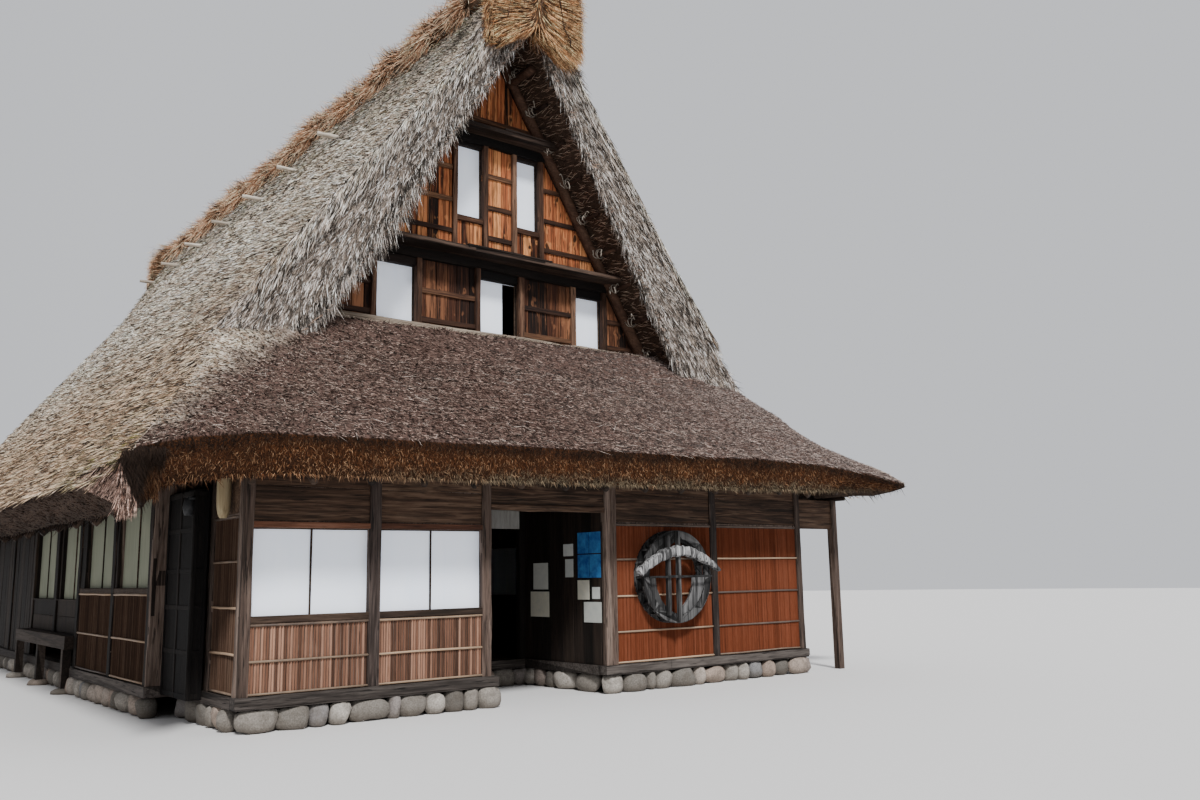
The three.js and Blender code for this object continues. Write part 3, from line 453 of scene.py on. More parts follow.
def weathered_straw(name, *tones, moss=0.0, warm=None, gaps=0.4, hip=None, strands=(12, 12, 12),
                    fading_and_sheen=None, roots=(0.06, 0.50)):
    """Straw coat: a tone for each straw, patches, painted shade between strands and at the roots, painted
    light on the tips.
    """
    f = Finish(name)
    dark = tones[0]
    straw = straw_tones(f, tones)
    patches = f.noise(f.place(), 0.9, 3.0)
    colour = f.mix(f.band(patches, 0.42, 0.68) * 0.35, straw, f.mix(0.5, straw, dark))
    if warm:
        warmer = f.band(f.noise(f.place(), 1.9, 3.0), 0.46, 0.66) * 0.6
        colour = f.mix(warmer, colour, f.mix(0.6, straw, warm))
    # Paler towards the high end of a span along X: painted sheen.
    if fading_and_sheen:
        bleach_and_sheen = f.mix(0.5, colour, (0.50, 0.42, 0.385))
        colour = f.mix(f.band(f.part("X"), *fading_and_sheen) * 0.85, colour, bleach_and_sheen)
    if moss:
        colour = main_slope(f, colour, straw, dark, moss)
    if hip:
        colour = wrapped_hip(f, colour, hip)
    # Painted shade in streaks between the strands; gaps sets how dark.
    between = 1 - f.band(f.noise(f.place(strands), 1.0, 4.0, 0.7), 0.42, 0.54)
    colour = f.mix(between * gaps, colour, dark)
    # Painted shade towards each straw's root, where the straws above cover it, and painted light on its tip.
    tip = f.node("Attribute", {"attribute_name": "tip"}, output=2)
    shade = f.ramp(tip, (0.0, (roots[0],) * 3), (0.20, (roots[1],) * 3), (0.50, (1.30,) * 3))
    return f.close(f.mix(1.0, colour, shade, "MULTIPLY"), 0.92)


def from_end(f):
    """Distance from the nearer end of the house, less than 0 beyond it."""
    return MIDDLE - abs(f.part("Y"))


def from_hip(f):
    """How far a place on a skirt lies to the right of the left hip."""
    return f.part("X") + HIP_PLACE - from_end(f) * HIP_RATE


def past_hip(f):
    """0 on the brown skirt, 1 where the grey straw of the main slope wraps over the left hip."""
    ragged = f.noise(f.place(), 1.7, 5.0)
    return 1 - f.band(from_hip(f) + (ragged - 0.5) * 2.2, -0.35, 0.45)


def thatch_ground(name, dark, light, cut, foot, hip=None, verge=False):
    """The body under the straws: combed straw above, cut ends on the eave, painted shade below; for verges
    also painted shade on the gable faces and at the low front ends.
    """
    f = Finish(name)
    strands = f.noise(f.place((11, 62, 14)), 1.0, 5.0, 0.7)
    stubs = f.noise(f.place(), 42.0, 3.0, 0.7)
    value = strands * 0.55 + stubs * 0.45
    top = f.ramp(value, (0.36, dark), (0.47, light), (0.60, times(light, 2.0)))
    if hip:
        other = f.ramp(value, (0.36, hip[0]), (0.47, hip[1]), (0.60, hip[2]))
        top = f.mix(past_hip(f), top, other)
    ends = f.noise(f.place(), 75.0, 3.0, 0.7)
    face = f.ramp(ends, (0.36, times(cut, 0.2)), (0.50, cut), (0.66, times(cut, 2.0)))
    tone = f.noise(f.place((1, 1, 3)), 1.6, 3.0)
    face = f.mix(f.band(tone, 0.45, 0.65) * 0.7, face, f.mix(0.6, face, foot))
    down = 1 - f.band(f.facing("Z"), -0.05, 0.12)
    # Faces that point down are darkened: painted shade under the straw.
    soffit_shade = 1 - f.band(f.facing("Z"), -0.92, -0.72)
    colour = f.mix(down, top, face)
    colour = f.mix(soffit_shade * 0.30, colour, f.mix(0.75, face, dark))
    if verge:
        # Painted shade on the faces towards the gables, where the body shows between the verge straws.
        gable_face_shade = f.band(abs(f.facing("Y")), 0.6, 0.8) * f.band(f.part("Z"), 3.8, 4.4)
        colour = f.mix(gable_face_shade * 0.6, colour, f.mix(0.35, top, dark))
        # Painted shade on the low front ends of the slopes, in the corner beside the skirt's eave.
        corner = (1 - f.band(f.part("Y"), -9.95, -9.75)) * (1 - f.band(f.facing("Z"), 0.1, 0.4))
        colour = f.mix(corner * (1 - f.band(f.part("Z"), 3.0, 3.3)) * 0.9, colour, foot)
    return f.close(colour, 0.95, value * 0.5 + ends * 0.5, 0.03, 0.9)


def cut_eave(name, red, grey):
    """Cut ends of the skirt's eave: a dark line on top, partly darker straw and partly painted shadow of the
    lip, red-brown below it, a grey fringe last.
    """
    f = Finish(name)
    down = f.band(from_end(f), -1.01, -0.77)
    ragged = f.noise(f.place(), 7.0, 4.0)
    straw = f.ramp(f.each(), (0.0, times(red, 0.08)), (0.35, times(red, 0.45)), (0.75, red),
                   (1.0, (0.44, 0.26, 0.14)))
    fading_and_sheen = f.ramp(f.each(), (0.0, times(grey, 0.2)), (0.45, grey), (1.0, times(grey, 2.0)))
    patches = f.band(f.noise(f.place(), 2.1, 4.0), 0.44, 0.62)
    colour = f.mix(patches * 0.55, straw, f.mix(0.5, straw, (0.04, 0.022, 0.012)))
    fringe = f.band(down + (ragged - 0.5) * 0.9, 0.55, 0.85) * f.band(f.part("X"), -4.2, -1.5)
    colour = f.mix(fringe * 0.85, colour, fading_and_sheen)
    shaded = 1 - f.band(f.part("X") + ragged * 0.8, -5.1, -3.6)
    colour = f.mix(shaded * 0.55, colour, (0.030, 0.015, 0.008))
    # Dark line under the lip: partly darker straw, partly painted shadow of the lip.
    line = 1 - f.band(down + (ragged - 0.5) * 0.35, 0.08, 0.30)
    colour = f.mix(line * 0.92, colour, (0.010, 0.006, 0.004))
    return f.close(colour, 0.93)


def grained(name, dark, middle, light, along="X", scale=1.0, streaks=0.5, crack=0.35,
            figure=0.0, shaded_heights=None, knots=0.0, apart=0.30):
    """Weathered wood whose grain runs along one axis, toned board by board, with painted shade between
    heights.
    """
    f = Finish(name)
    stretch = {"X": (2.0, 38, 38), "Y": (38, 2.0, 38), "Z": (38, 38, 2.0)}[along]

    def stretched(share):
        return f.place(tuple(s * share * scale for s in stretch))

    grain = f.noise(stretched(1.0), 1.0, 6.0, 0.65)
    broad = f.noise(stretched(0.22), 1.0, 3.0)
    value = grain * 0.55 + broad * 0.3 + f.each() * apart + (0.07 - apart / 2)
    colour = f.ramp(value, (0.30, dark), (0.50, middle), (0.72, light))
    streak = f.band(f.noise(stretched(0.5), 1.3, 4.0), 0.55, 0.68)
    colour = f.mix(streak * streaks, colour, dark)
    if figure:
        wavy = f.noise(stretched(0.45), 1.0, 3.0, 0.5, 1.6)
        colour = f.mix(f.band(wavy, 0.50, 0.60) * figure, colour, dark)
        colour = f.mix((1 - f.band(wavy, 0.34, 0.44)) * figure * 0.6, colour, light)
    if knots:
        spots = f.noise(f.place(tuple(6.0 if s > 10 else 3.2 for s in stretch)), 1.0, 2.0)
        colour = f.mix(f.band(spots, 0.60, 0.64) * knots * 0.5, colour, light)
        colour = f.mix(f.band(spots, 0.66, 0.70) * knots, colour, dark)
    # Painted shade that darkens the wood upwards between two heights, as under a ledge.
    if shaded_heights:
        colour = f.mix(f.band(f.part("Z") + broad * 0.3 - 0.15, *shaded_heights) * 0.8, colour, dark)
    cracks = f.band(f.noise(stretched(1.6), 1.0, 2.0), 0.60, 0.66)
    colour = f.mix(cracks * crack, colour, times(dark, 0.3))
    return f.close(colour, 0.8, grain * 0.6 - cracks * 0.5, 0.008, 0.6)


def straw_finishes(look):
    """Grey straw of the slopes, brown straw of the skirts, and the straw of ridge, eaves and corner."""
    straw, cut = tuple(look.straw_colour), tuple(look.eave_colour)
    grey = (times(straw, 0.04), straw, tuple(min(0.92, 1.6 * c) for c in straw))
    brown = ((0.006, 0.004, 0.003), (0.114, 0.069, 0.055), (0.46, 0.335, 0.277))
    return {
        "straw": weathered_straw("thatch_straw", *grey, moss=0.9, warm=(0.32, 0.22, 0.13), gaps=0.9,
                                 strands=(8, 34, 10), roots=(0.02, 0.24)),
        "thatch": thatch_ground("thatch_body", grey[0], times(straw, 0.6), (0.055, 0.033, 0.022),
                                (0.030, 0.019, 0.013), verge=True),
        "verge": weathered_straw("verge_straw", times(straw, 0.04), times(straw, 0.52), (0.86, 0.77, 0.71),
                                 gaps=0.9, strands=(18, 18, 7), roots=(0.08, 0.45)),
        "crest": weathered_straw("verge_crest_straw", times(straw, 0.05), times(straw, 0.75),
                                 (0.84, 0.76, 0.69), gaps=0.6, strands=(18, 18, 7), roots=(0.45, 0.85)),
        "loose_straw": weathered_straw("loose_straw", (0.20, 0.15, 0.12), (0.42, 0.34, 0.29),
                                       (0.66, 0.57, 0.50), gaps=0.2),
        # The skirt's straw turns paler towards the right: painted sheen.
        "skirt_straw": weathered_straw("skirt_straw", *brown, warm=(0.12, 0.055, 0.038), gaps=0.8, hip=grey,
                                       strands=(30, 24, 24), fading_and_sheen=(-1.0, 3.8)),
        "skirt": thatch_ground("skirt_body", brown[0], times(brown[1], 0.7), times(cut, 0.35),
                               (0.03, 0.018, 0.011), hip=grey),
        "cut_straw": cut_eave("cut_straw", cut, (0.13, 0.105, 0.068)),
        # Dark brown cut straw, darkened nearly to black as painted shade under the side eaves.
        "side_cut": weathered_straw("side_eave_straw", (0.004, 0.002, 0.0015), (0.015, 0.008, 0.005),
                                    (0.050, 0.028, 0.018), gaps=0.7),
        "corner_straw": weathered_straw("corner_straw", (0.014, 0.007, 0.005), (0.23, 0.125, 0.090),
                                        (0.60, 0.42, 0.34), gaps=0.75, strands=(30, 10, 30)),
        "dark_straw": weathered_straw("underside_straw", (0.024, 0.015, 0.011), (0.44, 0.265, 0.185),
                                      (0.80, 0.58, 0.44), gaps=0.4, strands=(14, 6, 14)),
        "ridge_straw": weathered_straw("ridge_straw", (0.034, 0.016, 0.008), (0.78, 0.430, 0.250),
                                       (0.94, 0.70, 0.50), warm=(0.60, 0.27, 0.12), gaps=0.55),
        "ridge": thatch_ground("ridge_body", (0.010, 0.005, 0.003), (0.07, 0.036, 0.018),
                               (0.06, 0.032, 0.016), (0.03, 0.016, 0.008)),
        "cap_straw": weathered_straw("cap_straw", (0.020, 0.009, 0.005), (0.66, 0.310, 0.125),
                                     (0.95, 0.64, 0.365), warm=(0.50, 0.175, 0.062), gaps=0.65,
                                     strands=(34, 24, 12)),
    }


def wood_finishes():
    """Posts, beams, boards, planks, logs and the wheel, each from dark through middle to light."""
    return {
        "post": grained("weathered_post", (0.012, 0.008, 0.006), (0.084, 0.056, 0.043), (0.24, 0.18, 0.145),
                        "Z", crack=0.8, figure=0.35),
        "grey_post": grained("grey_post", (0.008, 0.006, 0.005), (0.035, 0.024, 0.020),
                             (0.115, 0.088, 0.077), "Z", crack=0.8, figure=0.35),
        "beam": grained("weathered_beam", (0.008, 0.005, 0.003), (0.040, 0.024, 0.016), (0.12, 0.08, 0.055),
                        figure=0.3),
        "ledge": grained("gable_ledge", (0.003, 0.002, 0.0015), (0.022, 0.013, 0.009),
                         (0.11, 0.070, 0.050)),
        # Near black: painted shade under the ledges, for the beams and the boards over the gable windows.
        "shaded_gable_beam": grained("shaded_gable_beam", (0.0015, 0.001, 0.001), (0.005, 0.003, 0.002),
                              (0.016, 0.009, 0.007)),
        "boards": grained("upper_boards", (0.007, 0.004, 0.0025), (0.066, 0.036, 0.022),
                          (0.18, 0.115, 0.076), streaks=0.6, crack=0.6, figure=0.5),
        "strip": grained("reddish_rail", (0.03, 0.012, 0.007), (0.12, 0.048, 0.026), (0.25, 0.12, 0.075)),
        "timber": grained("roof_timber", (0.006, 0.004, 0.003), (0.026, 0.016, 0.011),
                          (0.08, 0.052, 0.036)),
        "side_timber": grained("side_timber", (0.008, 0.006, 0.005), (0.030, 0.021, 0.016),
                               (0.09, 0.068, 0.055), "Y"),
        "dark_wall": grained("dark_wall", (0.004, 0.003, 0.002), (0.014, 0.009, 0.007),
                             (0.040, 0.027, 0.019), "Z"),
        "floor": grained("floor_boards", (0.02, 0.012, 0.008), (0.09, 0.055, 0.033), (0.17, 0.11, 0.07),
                         "Y"),
        "sill": grained("grey_sill", (0.008, 0.006, 0.005), (0.036, 0.029, 0.025), (0.125, 0.107, 0.095),
                        crack=0.8, figure=0.3),
        "sill_y": grained("grey_sill_side", (0.008, 0.006, 0.005), (0.036, 0.028, 0.024),
                          (0.12, 0.10, 0.088), "Y", crack=0.8),
        "gable_log": grained("gable_log", (0.018, 0.012, 0.008), (0.15, 0.115, 0.085), (0.44, 0.37, 0.29),
                             crack=0.7),
        "planks": grained("gable_planks", (0.010, 0.004, 0.002), (0.33, 0.095, 0.036),
                          (0.62, 0.26, 0.100), "Z", streaks=0.95, crack=0.9, figure=0.5, knots=0.9,
                          apart=0.48),
        # The lower planks darken towards their tops under the ledge: painted shade.
        "lower_planks": grained("lower_gable_planks", (0.006, 0.0025, 0.0015), (0.060, 0.020, 0.009),
                                (0.26, 0.110, 0.052), "Z", streaks=0.9, crack=0.85, figure=0.5,
                                shaded_heights=(5.45, 5.95), knots=0.9, apart=0.48),
        "rails": grained("gable_rails", (0.008, 0.004, 0.003), (0.050, 0.022, 0.012), (0.24, 0.12, 0.06)),
        "gable_post": grained("gable_post", (0.010, 0.005, 0.003), (0.072, 0.034, 0.020),
                              (0.23, 0.13, 0.08), "Z", crack=0.8, figure=0.4),
        "log": grained("rafter_log", (0.008, 0.004, 0.0025), (0.046, 0.022, 0.014), (0.12, 0.066, 0.042)),
        "case": grained("shutter_case", (0.002, 0.0015, 0.0015), (0.006, 0.0045, 0.004),
                        (0.018, 0.014, 0.012), "Z"),
        "peg": grained("pale_peg", (0.26, 0.22, 0.18), (0.54, 0.47, 0.38), (0.76, 0.70, 0.60)),
        "dark_vine": grained("dark_vine", (0.02, 0.010, 0.006), (0.07, 0.035, 0.02), (0.18, 0.11, 0.07),
                             "Z"),
        "pale_wood": grained("pale_wood", (0.10, 0.07, 0.035), (0.34, 0.26, 0.15), (0.54, 0.46, 0.30),
                             "Z", crack=0.1, streaks=0.1),
        "wheel": grained("wheel_wood", (0.004, 0.004, 0.004), (0.024, 0.023, 0.023),
                         (0.13, 0.128, 0.126), "Z", streaks=0.6, crack=0.9),
        "wheel_pale": grained("wheel_pale_wood", (0.010, 0.010, 0.010), (0.085, 0.083, 0.083),
                              (0.33, 0.325, 0.32), "Z", 0.7, crack=0.9, figure=0.3),
        "wheel_log": grained("wheel_log", (0.006, 0.006, 0.006), (0.125, 0.122, 0.122),
                             (0.58, 0.575, 0.57), "Z", 0.75, 0.8, crack=1.0, figure=0.8),
    }


def reed_panel(name, tone, own):
    """Upright reeds, stem by stem; a high own share sets the stems further apart in tone."""
    f = Finish(name)
    stem = f.noise(f.place((85, 85, 1.4)), 1.0, 3.0)
    patch = f.noise(f.place((2.2, 2.2, 0.9)), 1.0, 4.0)
    fine = f.noise(f.place((64, 64, 5)), 1.0, 4.0, 0.85)
    value = f.each() * own + stem * 0.15 + fine * 0.45 + patch * 0.15 - (own + 0.75) / 2 + 0.5
    bleach_and_sheen = tuple(1.5 * c + own * more for c, more in zip(tone, (0.20, 0.16, 0.12)))
    colour = f.ramp(value, (0.24, times(tone, 0.28)), (0.50, tone), (0.78, bleach_and_sheen))
    stained = f.mix(0.5, colour, times(tone, 0.4))
    colour = f.mix(f.band(patch, 0.52, 0.70) * 0.5, colour, stained)
    return f.close(colour, 0.72, stem, 0.004, 0.5)


def paper_pane(name, low, high, glow=0.0):
    """Window paper with faint fibres and clouds."""
    f = Finish(name)
    fibre = f.noise(f.place((30, 30, 1.2)), 1.0, 4.0)
    cloud = f.noise(f.place((1.5, 1.5, 1.5)), 1.0, 2.0)
    sheet = f.ramp(fibre * 0.5 + cloud * 0.5, (0.35, low), (0.65, high))
    return f.close(sheet, 0.85, fibre, 0.002, 0.3, glow=glow)


def river_stone():
    """Grey and brown stones, speckled and stained, with dirt at the foot."""
    f = Finish("river_stone")
    speck = f.noise(f.place(), 60.0, 5.0, 0.7)
    stain = f.noise(f.place(), 9.0, 4.0)
    tone = f.ramp(f.each(), (0.0, (0.11, 0.10, 0.088)), (0.35, (0.25, 0.225, 0.195)),
                  (0.62, (0.46, 0.42, 0.37)), (0.82, (0.36, 0.27, 0.215)), (1.0, (0.20, 0.205, 0.21)))
    shade = f.ramp(speck, (0.3, (0.5, 0.5, 0.5)), (0.7, (1.2, 1.2, 1.2)))
    dirt = 1 - f.band(f.part("Z"), 0.0, 0.11)
    colour = f.mix(1.0, tone, shade, "MULTIPLY")
    colour = f.mix(f.band(stain, 0.45, 0.65) * 0.45, colour, (0.085, 0.070, 0.055))
    return f.close(f.mix(dirt * 0.6, colour, (0.10, 0.080, 0.062)), 0.92, speck + stain, 0.010, 0.7)


def notice_paper():
    """Blank sheets of slightly different tones, faintly blotched."""
    f = Finish("notice_paper")
    blot = f.noise(f.place(), 12.0, 3.0)
    sheet = f.ramp(f.each(), (0.0, (0.60, 0.64, 0.66)), (0.5, (0.64, 0.60, 0.48)), (1.0, (0.46, 0.50, 0.50)))
    return f.close(f.mix(f.band(blot, 0.4, 0.7) * 0.25, sheet, (0.30, 0.33, 0.34)), 0.8)


def bamboo_batten():
    """Brown bamboo, toned pole by pole."""
    f = Finish("bamboo_batten")
    tone = f.noise(f.place((6, 6, 6)), 1.0, 4.0) * 0.4 + f.each() * 0.6
    return f.close(f.ramp(tone, (0.25, (0.085, 0.062, 0.050)), (0.75, (0.42, 0.29, 0.19))), 0.5)


def mottled(name, scale, low, high, roughness, depth=None, stretch=(1, 1, 1)):
    """A plain surface whose tone wanders between two colours, with slight relief if it has a depth."""
    f = Finish(name)
    value = f.noise(f.place(stretch), scale, 3.0)
    colour = f.ramp(value, (0.3, low), (0.7, high))
    return f.close(colour, roughness, value, depth) if depth else f.close(colour, roughness)


def make_finishes(look):
    """Every finish of the house, by the name that its pieces use."""
    made = {**straw_finishes(look), **wood_finishes()}
    made["reed"] = reed_panel("reed_panel", times(tuple(look.reed_colour), 0.82), 0.22)
    made["old_reed"] = reed_panel("old_reed_panel", (0.205, 0.100, 0.062), 0.55)
    made["shaded_reed"] = reed_panel("shaded_reed_panel", (0.050, 0.024, 0.013), 0.30)
    made["bamboo"] = bamboo_batten()
    made["paper"] = paper_pane("paper_pane", (0.83, 0.87, 0.93), (0.92, 0.94, 0.96))
    # The front paper glows a little: painted light.
    made["front_paper"] = paper_pane("front_paper_pane", (0.80, 0.86, 0.97), (0.89, 0.93, 1.0), glow=0.22)
    made["shaded_paper"] = paper_pane("shaded_paper_pane", (0.20, 0.21, 0.155), (0.28, 0.29, 0.215))
    made["stone"] = river_stone()
    made["notice"] = notice_paper()
    made["rope"] = mottled("straw_rope", 90.0, (0.16, 0.13, 0.10), (0.50, 0.45, 0.38), 0.9, 0.004)
    made["blue_paper"] = mottled("blue_paper", 9.0, (0.01, 0.055, 0.24), (0.05, 0.22, 0.50), 0.7)
    made["enamel"] = mottled("grey_enamel", 25.0, (0.018, 0.019, 0.020), (0.05, 0.05, 0.053), 0.55)
    made["painted"] = mottled("painted_board", 1.0, (0.085, 0.080, 0.072), (0.13, 0.125, 0.115), 0.8, 0.002,
                              (40, 40, 6))
    made["stage"] = Finish("plain_floor").close((0.72, 0.71, 0.70), 0.9)
    return made


FINISHES = {}


def dress(finish, *names):
    """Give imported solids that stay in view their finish."""
    for name in names:
        NODES[name].data.materials.clear()
        NODES[name].data.materials.append(FINISHES[finish])


def worn_body(name, node, cell, swell, seed, tuck=None):
    """A finer copy of a straw solid, with its faces uneven as trodden straw is."""
    bm = bmesh.new()
    bm.from_mesh(NODES[node].data)
    if tuck:
        for vertex in bm.verts:
            vertex.co = tuck(np.array(vertex.co) + SHIFT) - SHIFT
    bmesh.ops.remove_doubles(bm, verts=bm.verts, dist=0.0005)
    bmesh.ops.join_triangles(bm, faces=bm.faces, angle_face_threshold=0.5, angle_shape_threshold=3.1)
    for _ in range(6):
        long = [e for e in bm.edges if e.calc_length() > cell]
        if not long:
            break
        bmesh.ops.subdivide_edges(bm, edges=long, cuts=1, use_grid_fill=True)
    bmesh.ops.triangulate(bm, faces=bm.faces)
    bm.normal_update()
    points = np.array([v.co for v in bm.verts])
    push = swell * (0.6 * wave(points, 1.7, seed) + 0.4 * wave(points, 0.45, seed + 1))
    for vertex, by in zip(bm.verts, push):
        vertex.co += vertex.normal * float(by)
    mesh = bpy.data.meshes.new(name)
    bm.to_mesh(mesh)
    bm.free()
    return mesh


# Roof

def main_under(sign, h):
    """Height of the underside of a main slope at a distance from the axis."""
    bend = INNER_APEX - INNER_PITCH * BEND
    below = bend + (FOOT_HEIGHT[sign] - bend) * (h - BEND) / (FOOT_OUT - BEND)
    return np.where(h <= BEND, INNER_APEX - INNER_PITCH * h, below)


def verge_face(h):
    """Distance of a verge's face from its end of the house, further out towards the ridge."""
    return VERGE - VERGE_LEAN * np.maximum(0, 1 - h / BEND)


# Each main slope: its name, its side of the axis, its seed and its number of straws.
SLOPES = (("left", -1, 11, 51000), ("right", 1, 23, 24000))

# Each ridge peg: its side of the axis and its distance from the front.
PEG_PLACES = [(sign, 5.70 + 1.85 * i) for sign in (-1, 1) for i in range(7)]


def tucked_pegs(point):
    """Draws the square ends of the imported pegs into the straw, where round ones take their place."""
    h = abs(point[0] - AXIS)
    if h > 1.0 and 9.05 < point[2] < 9.2 and min(abs(point[1] - y) for _, y in PEG_PLACES) < 0.06:
        point[0] = AXIS + math.copysign(0.64, point[0] - AXIS)
    return point


def skirt_lip(x):
    """Height of the skirt's lip, which droops towards both corners."""
    left = 0.27 * np.maximum(0, (0.3 - x) / 1.8) ** 3
    right = 0.24 * np.maximum(0, (x - 7.3) / 2.3) ** 1.5
    return LIP + 0.015 * x - left - right


def skirt_under(x, y):
    """Height of the skirt's underside, thinner towards the right corner."""
    thickness = 0.40 * (1 - 0.72 * np.clip((x - 7.7) / 2.0, 0, 1))
    return skirt_lip(x) - thickness + (y + 0.78) * SKIRT_PITCH


def body_faces(body):
    """An object's triangles with their normals and centres."""
    tris = triangles(body)
    return tris, normals_of(tris), tris.mean(1)


def build_main_thatch(look):
    """Both main slopes: worn bodies, straw coats, combed verges and the straw below them."""
    density = look.density
    verge, crest, below, cut, corner, dark = (Heap() for _ in range(6))
    for name, sign, seed, count in SLOPES:
        rng = np.random.default_rng(seed)
        mesh = worn_body(f"{name}_thatch_body", f"{name}_thatch", 0.55, 0.03, seed, tucked_pegs)
        body = piece(f"{name}_thatch_body", mesh, FINISHES["thatch"], smooth=True,
                     replaces=[f"{name}_thatch"])
        tris, normals, centres = body_faces(body)
        end_distance = np.minimum(centres[:, 1], LENGTH - centres[:, 1])
        downhill = unit(np.array([sign, 0, -PITCH[sign]]))
        end = (np.abs(normals[:, 1]) > 0.85) & (centres[:, 2] > 4.0)
        top = (normals[:, 2] > 0.25) & ~end
        eave = (normals[:, 0] * sign > 0.35) & (normals[:, 2] < 0.25) & ~end
        under = (normals[:, 2] < -0.3) & ~end & ~eave
        low_end = (np.abs(normals[:, 1]) > 0.5) & (centres[:, 2] <= 4.0)
        near = centres[:, 1] < MIDDLE
        slope = Heap()

        def swept(roots):
            """Down the slope, turning out over the edge near a verge."""
            inside = np.minimum(roots[:, 1], LENGTH - roots[:, 1])
            turn = np.clip((2.6 - inside) / 1.5, 0, 1) * np.clip((roots[:, 2] - 4.2) / 0.8, 0, 1)
            over = xyz(0.45 * sign, 0.65 * np.where(roots[:, 1] < MIDDLE, -1.0, 1.0), -1)
            return downhill * (1 - turn[:, None]) + over * turn[:, None]

        def combed(roots):
            """Down the slope at its top edge, turning straight down towards its lower edge."""
            above = roots[:, 2] - main_under(sign, np.abs(roots[:, 0] - AXIS))
            return xyz(sign * (0.12 + 0.64 * np.clip(above / 0.9, 0, 1)), 0, -1)

        coat(slope, tris[top], int(count * density), rng, swept, (0.10, look.straw_length), (0.014, 0.036),
             spread=0.26, lift=0.07, weight=lambda c: 0.55 + 2.0 * np.exp(-(c[:, 1] + 1) / 4.5),
             slim=lambda p: 0.55 + 0.45 * np.clip(p[:, 1] / 8, 0, 1))
        for part, many, out in ((near, 8800, -1.0), (~near, 1300, 1.0)):
            coat(verge, tris[end & part], int(many * density), rng, combed, (0.14, 0.32), (0.009, 0.019),
                 sink=0.02, lift=0.05, spread=0.22)
            gable = under & part & (end_distance < 2.2) & (centres[:, 2] > 4.2)
            coat(below, tris[gable], int(many * 0.32 * density), rng, np.array([0.15 * sign, out, -0.1]),
                 (0.12, 0.26), (0.007, 0.012), sink=0.004, lift=0.035, spread=0.25)
        coat(cut, tris[eave], int(4500 * density), rng, downhill + np.array([sign * 0.6, 0, 0]),
             (0.04, 0.09), (0.008, 0.014), sink=0.01, lift=0.03, spread=0.5)
        coat(cut, tris[low_end], int(700 * density), rng, np.array([sign * 0.35, 0, -1.0]), (0.10, 0.22),
             (0.008, 0.014), sink=0.01, lift=0.04, spread=0.25)
        coat(cut, tris[under & (centres[:, 2] < 3.6)], int(2000 * density), rng, downhill, (0.10, 0.24),
             (0.010, 0.016), sink=0.01, lift=0.02, spread=0.2)
        verge_crest(slope, crest, rng, sign, density)
        verge_tips(verge, rng, sign, density)
        eave_tips(cut, rng, sign, density)
        piece(f"{name}_thatch_straw", slope, FINISHES["straw"])
    corner_fan(corner, dark, density)
    for name, heap, finish in (
            ("corner_straw", corner, "corner_straw"), ("corner_cut_straw", dark, "cut_straw"),
            ("verge_straw", verge, "verge"), ("verge_crest_straw", crest, "crest"),
            ("underside_straw", below, "dark_straw"), ("side_eave_straw", cut, "side_cut")):
        piece(name, heap, FINISHES[finish])


def corner_fan(heap, dark, density):
    """Combed straw wrapped round the front left corner of the eaves, and cut ends beside it."""
    rng = np.random.default_rng(29)
    count = int(4000 * density)
    back = rng.uniform(-0.02, 1, count)
    down = rng.uniform(0, 1, count) * np.clip(1 - back, 0.06, 1)
    roots = xyz(-1.465 + 0.14 * down, -1.03 + 1.85 * back + 0.08 * down, 2.545 - 0.04 * back - 0.42 * down)
    along = xyz(rng.normal(-0.10, 0.10, count), rng.normal(0.80, 0.12, count), rng.normal(-0.50, 0.10, count))
    tips(heap, roots, along, (0.10, 0.32), (0.007, 0.013), rng, np.clip(1.15 - back - down, 0.15, 1))
    count = int(1100 * density)
    down = rng.uniform(0, 1, count) ** 0.7
    roots = xyz(-1.45 + rng.uniform(0, 0.15, count) * down, -1.045, 2.52 - 0.34 * down)
    along = xyz(rng.normal(-0.1, 0.15, count), rng.normal(0.0, 0.12, count), -1)
    tips(heap, roots, along, (0.10, 0.20), (0.007, 0.013), rng)
    count = int(2600 * density)
    down = rng.uniform(0, 1, count)
    x = -1.45 + rng.uniform(0, 0.37, count)
    back = 0.22 * down * np.clip((x + 1.30) / 0.12, 0, 1)
    roots = xyz(x, -1.03 + back, 2.67 + 0.45 * np.minimum(x + 1.30, 0) - 0.40 * down)
    along = xyz(rng.normal(0, 0.3, count), rng.normal(-0.3, 0.2, count), -1)
    tips(dark, roots, along, (0.05, 0.13), (0.008, 0.014), rng)


def verge_crest(slope, crest, rng, sign, density):
    """Straw that rounds the outer edge of a verge, from the slope down over its end."""
    left = sign < 0
    for heap, front, many, deep in ((slope, True, 2600 if left else 900, 0.10),
                                    (crest, True, 3600 if left else 1200, 0.34), (slope, False, 500, 0.2)):
        count = int(many * density)
        h = rng.uniform(0.55, 3.75, count)
        low = rng.uniform(0, 1, count) ** 1.5 * deep
        y = verge_face(h) - 0.02 - 0.03 * rng.random(count)
        roots = xyz(AXIS + sign * h, at_end(front, y), OUTER_APEX - PITCH[sign] * h + 0.05 - low)
        out = -1 if front else 1
        along = xyz(sign * rng.normal(0.45, 0.16, count), out * rng.uniform(0.05, 0.35, count), -1)
        tips(heap, roots, along, (0.10, 0.26), (0.010, 0.019), rng)


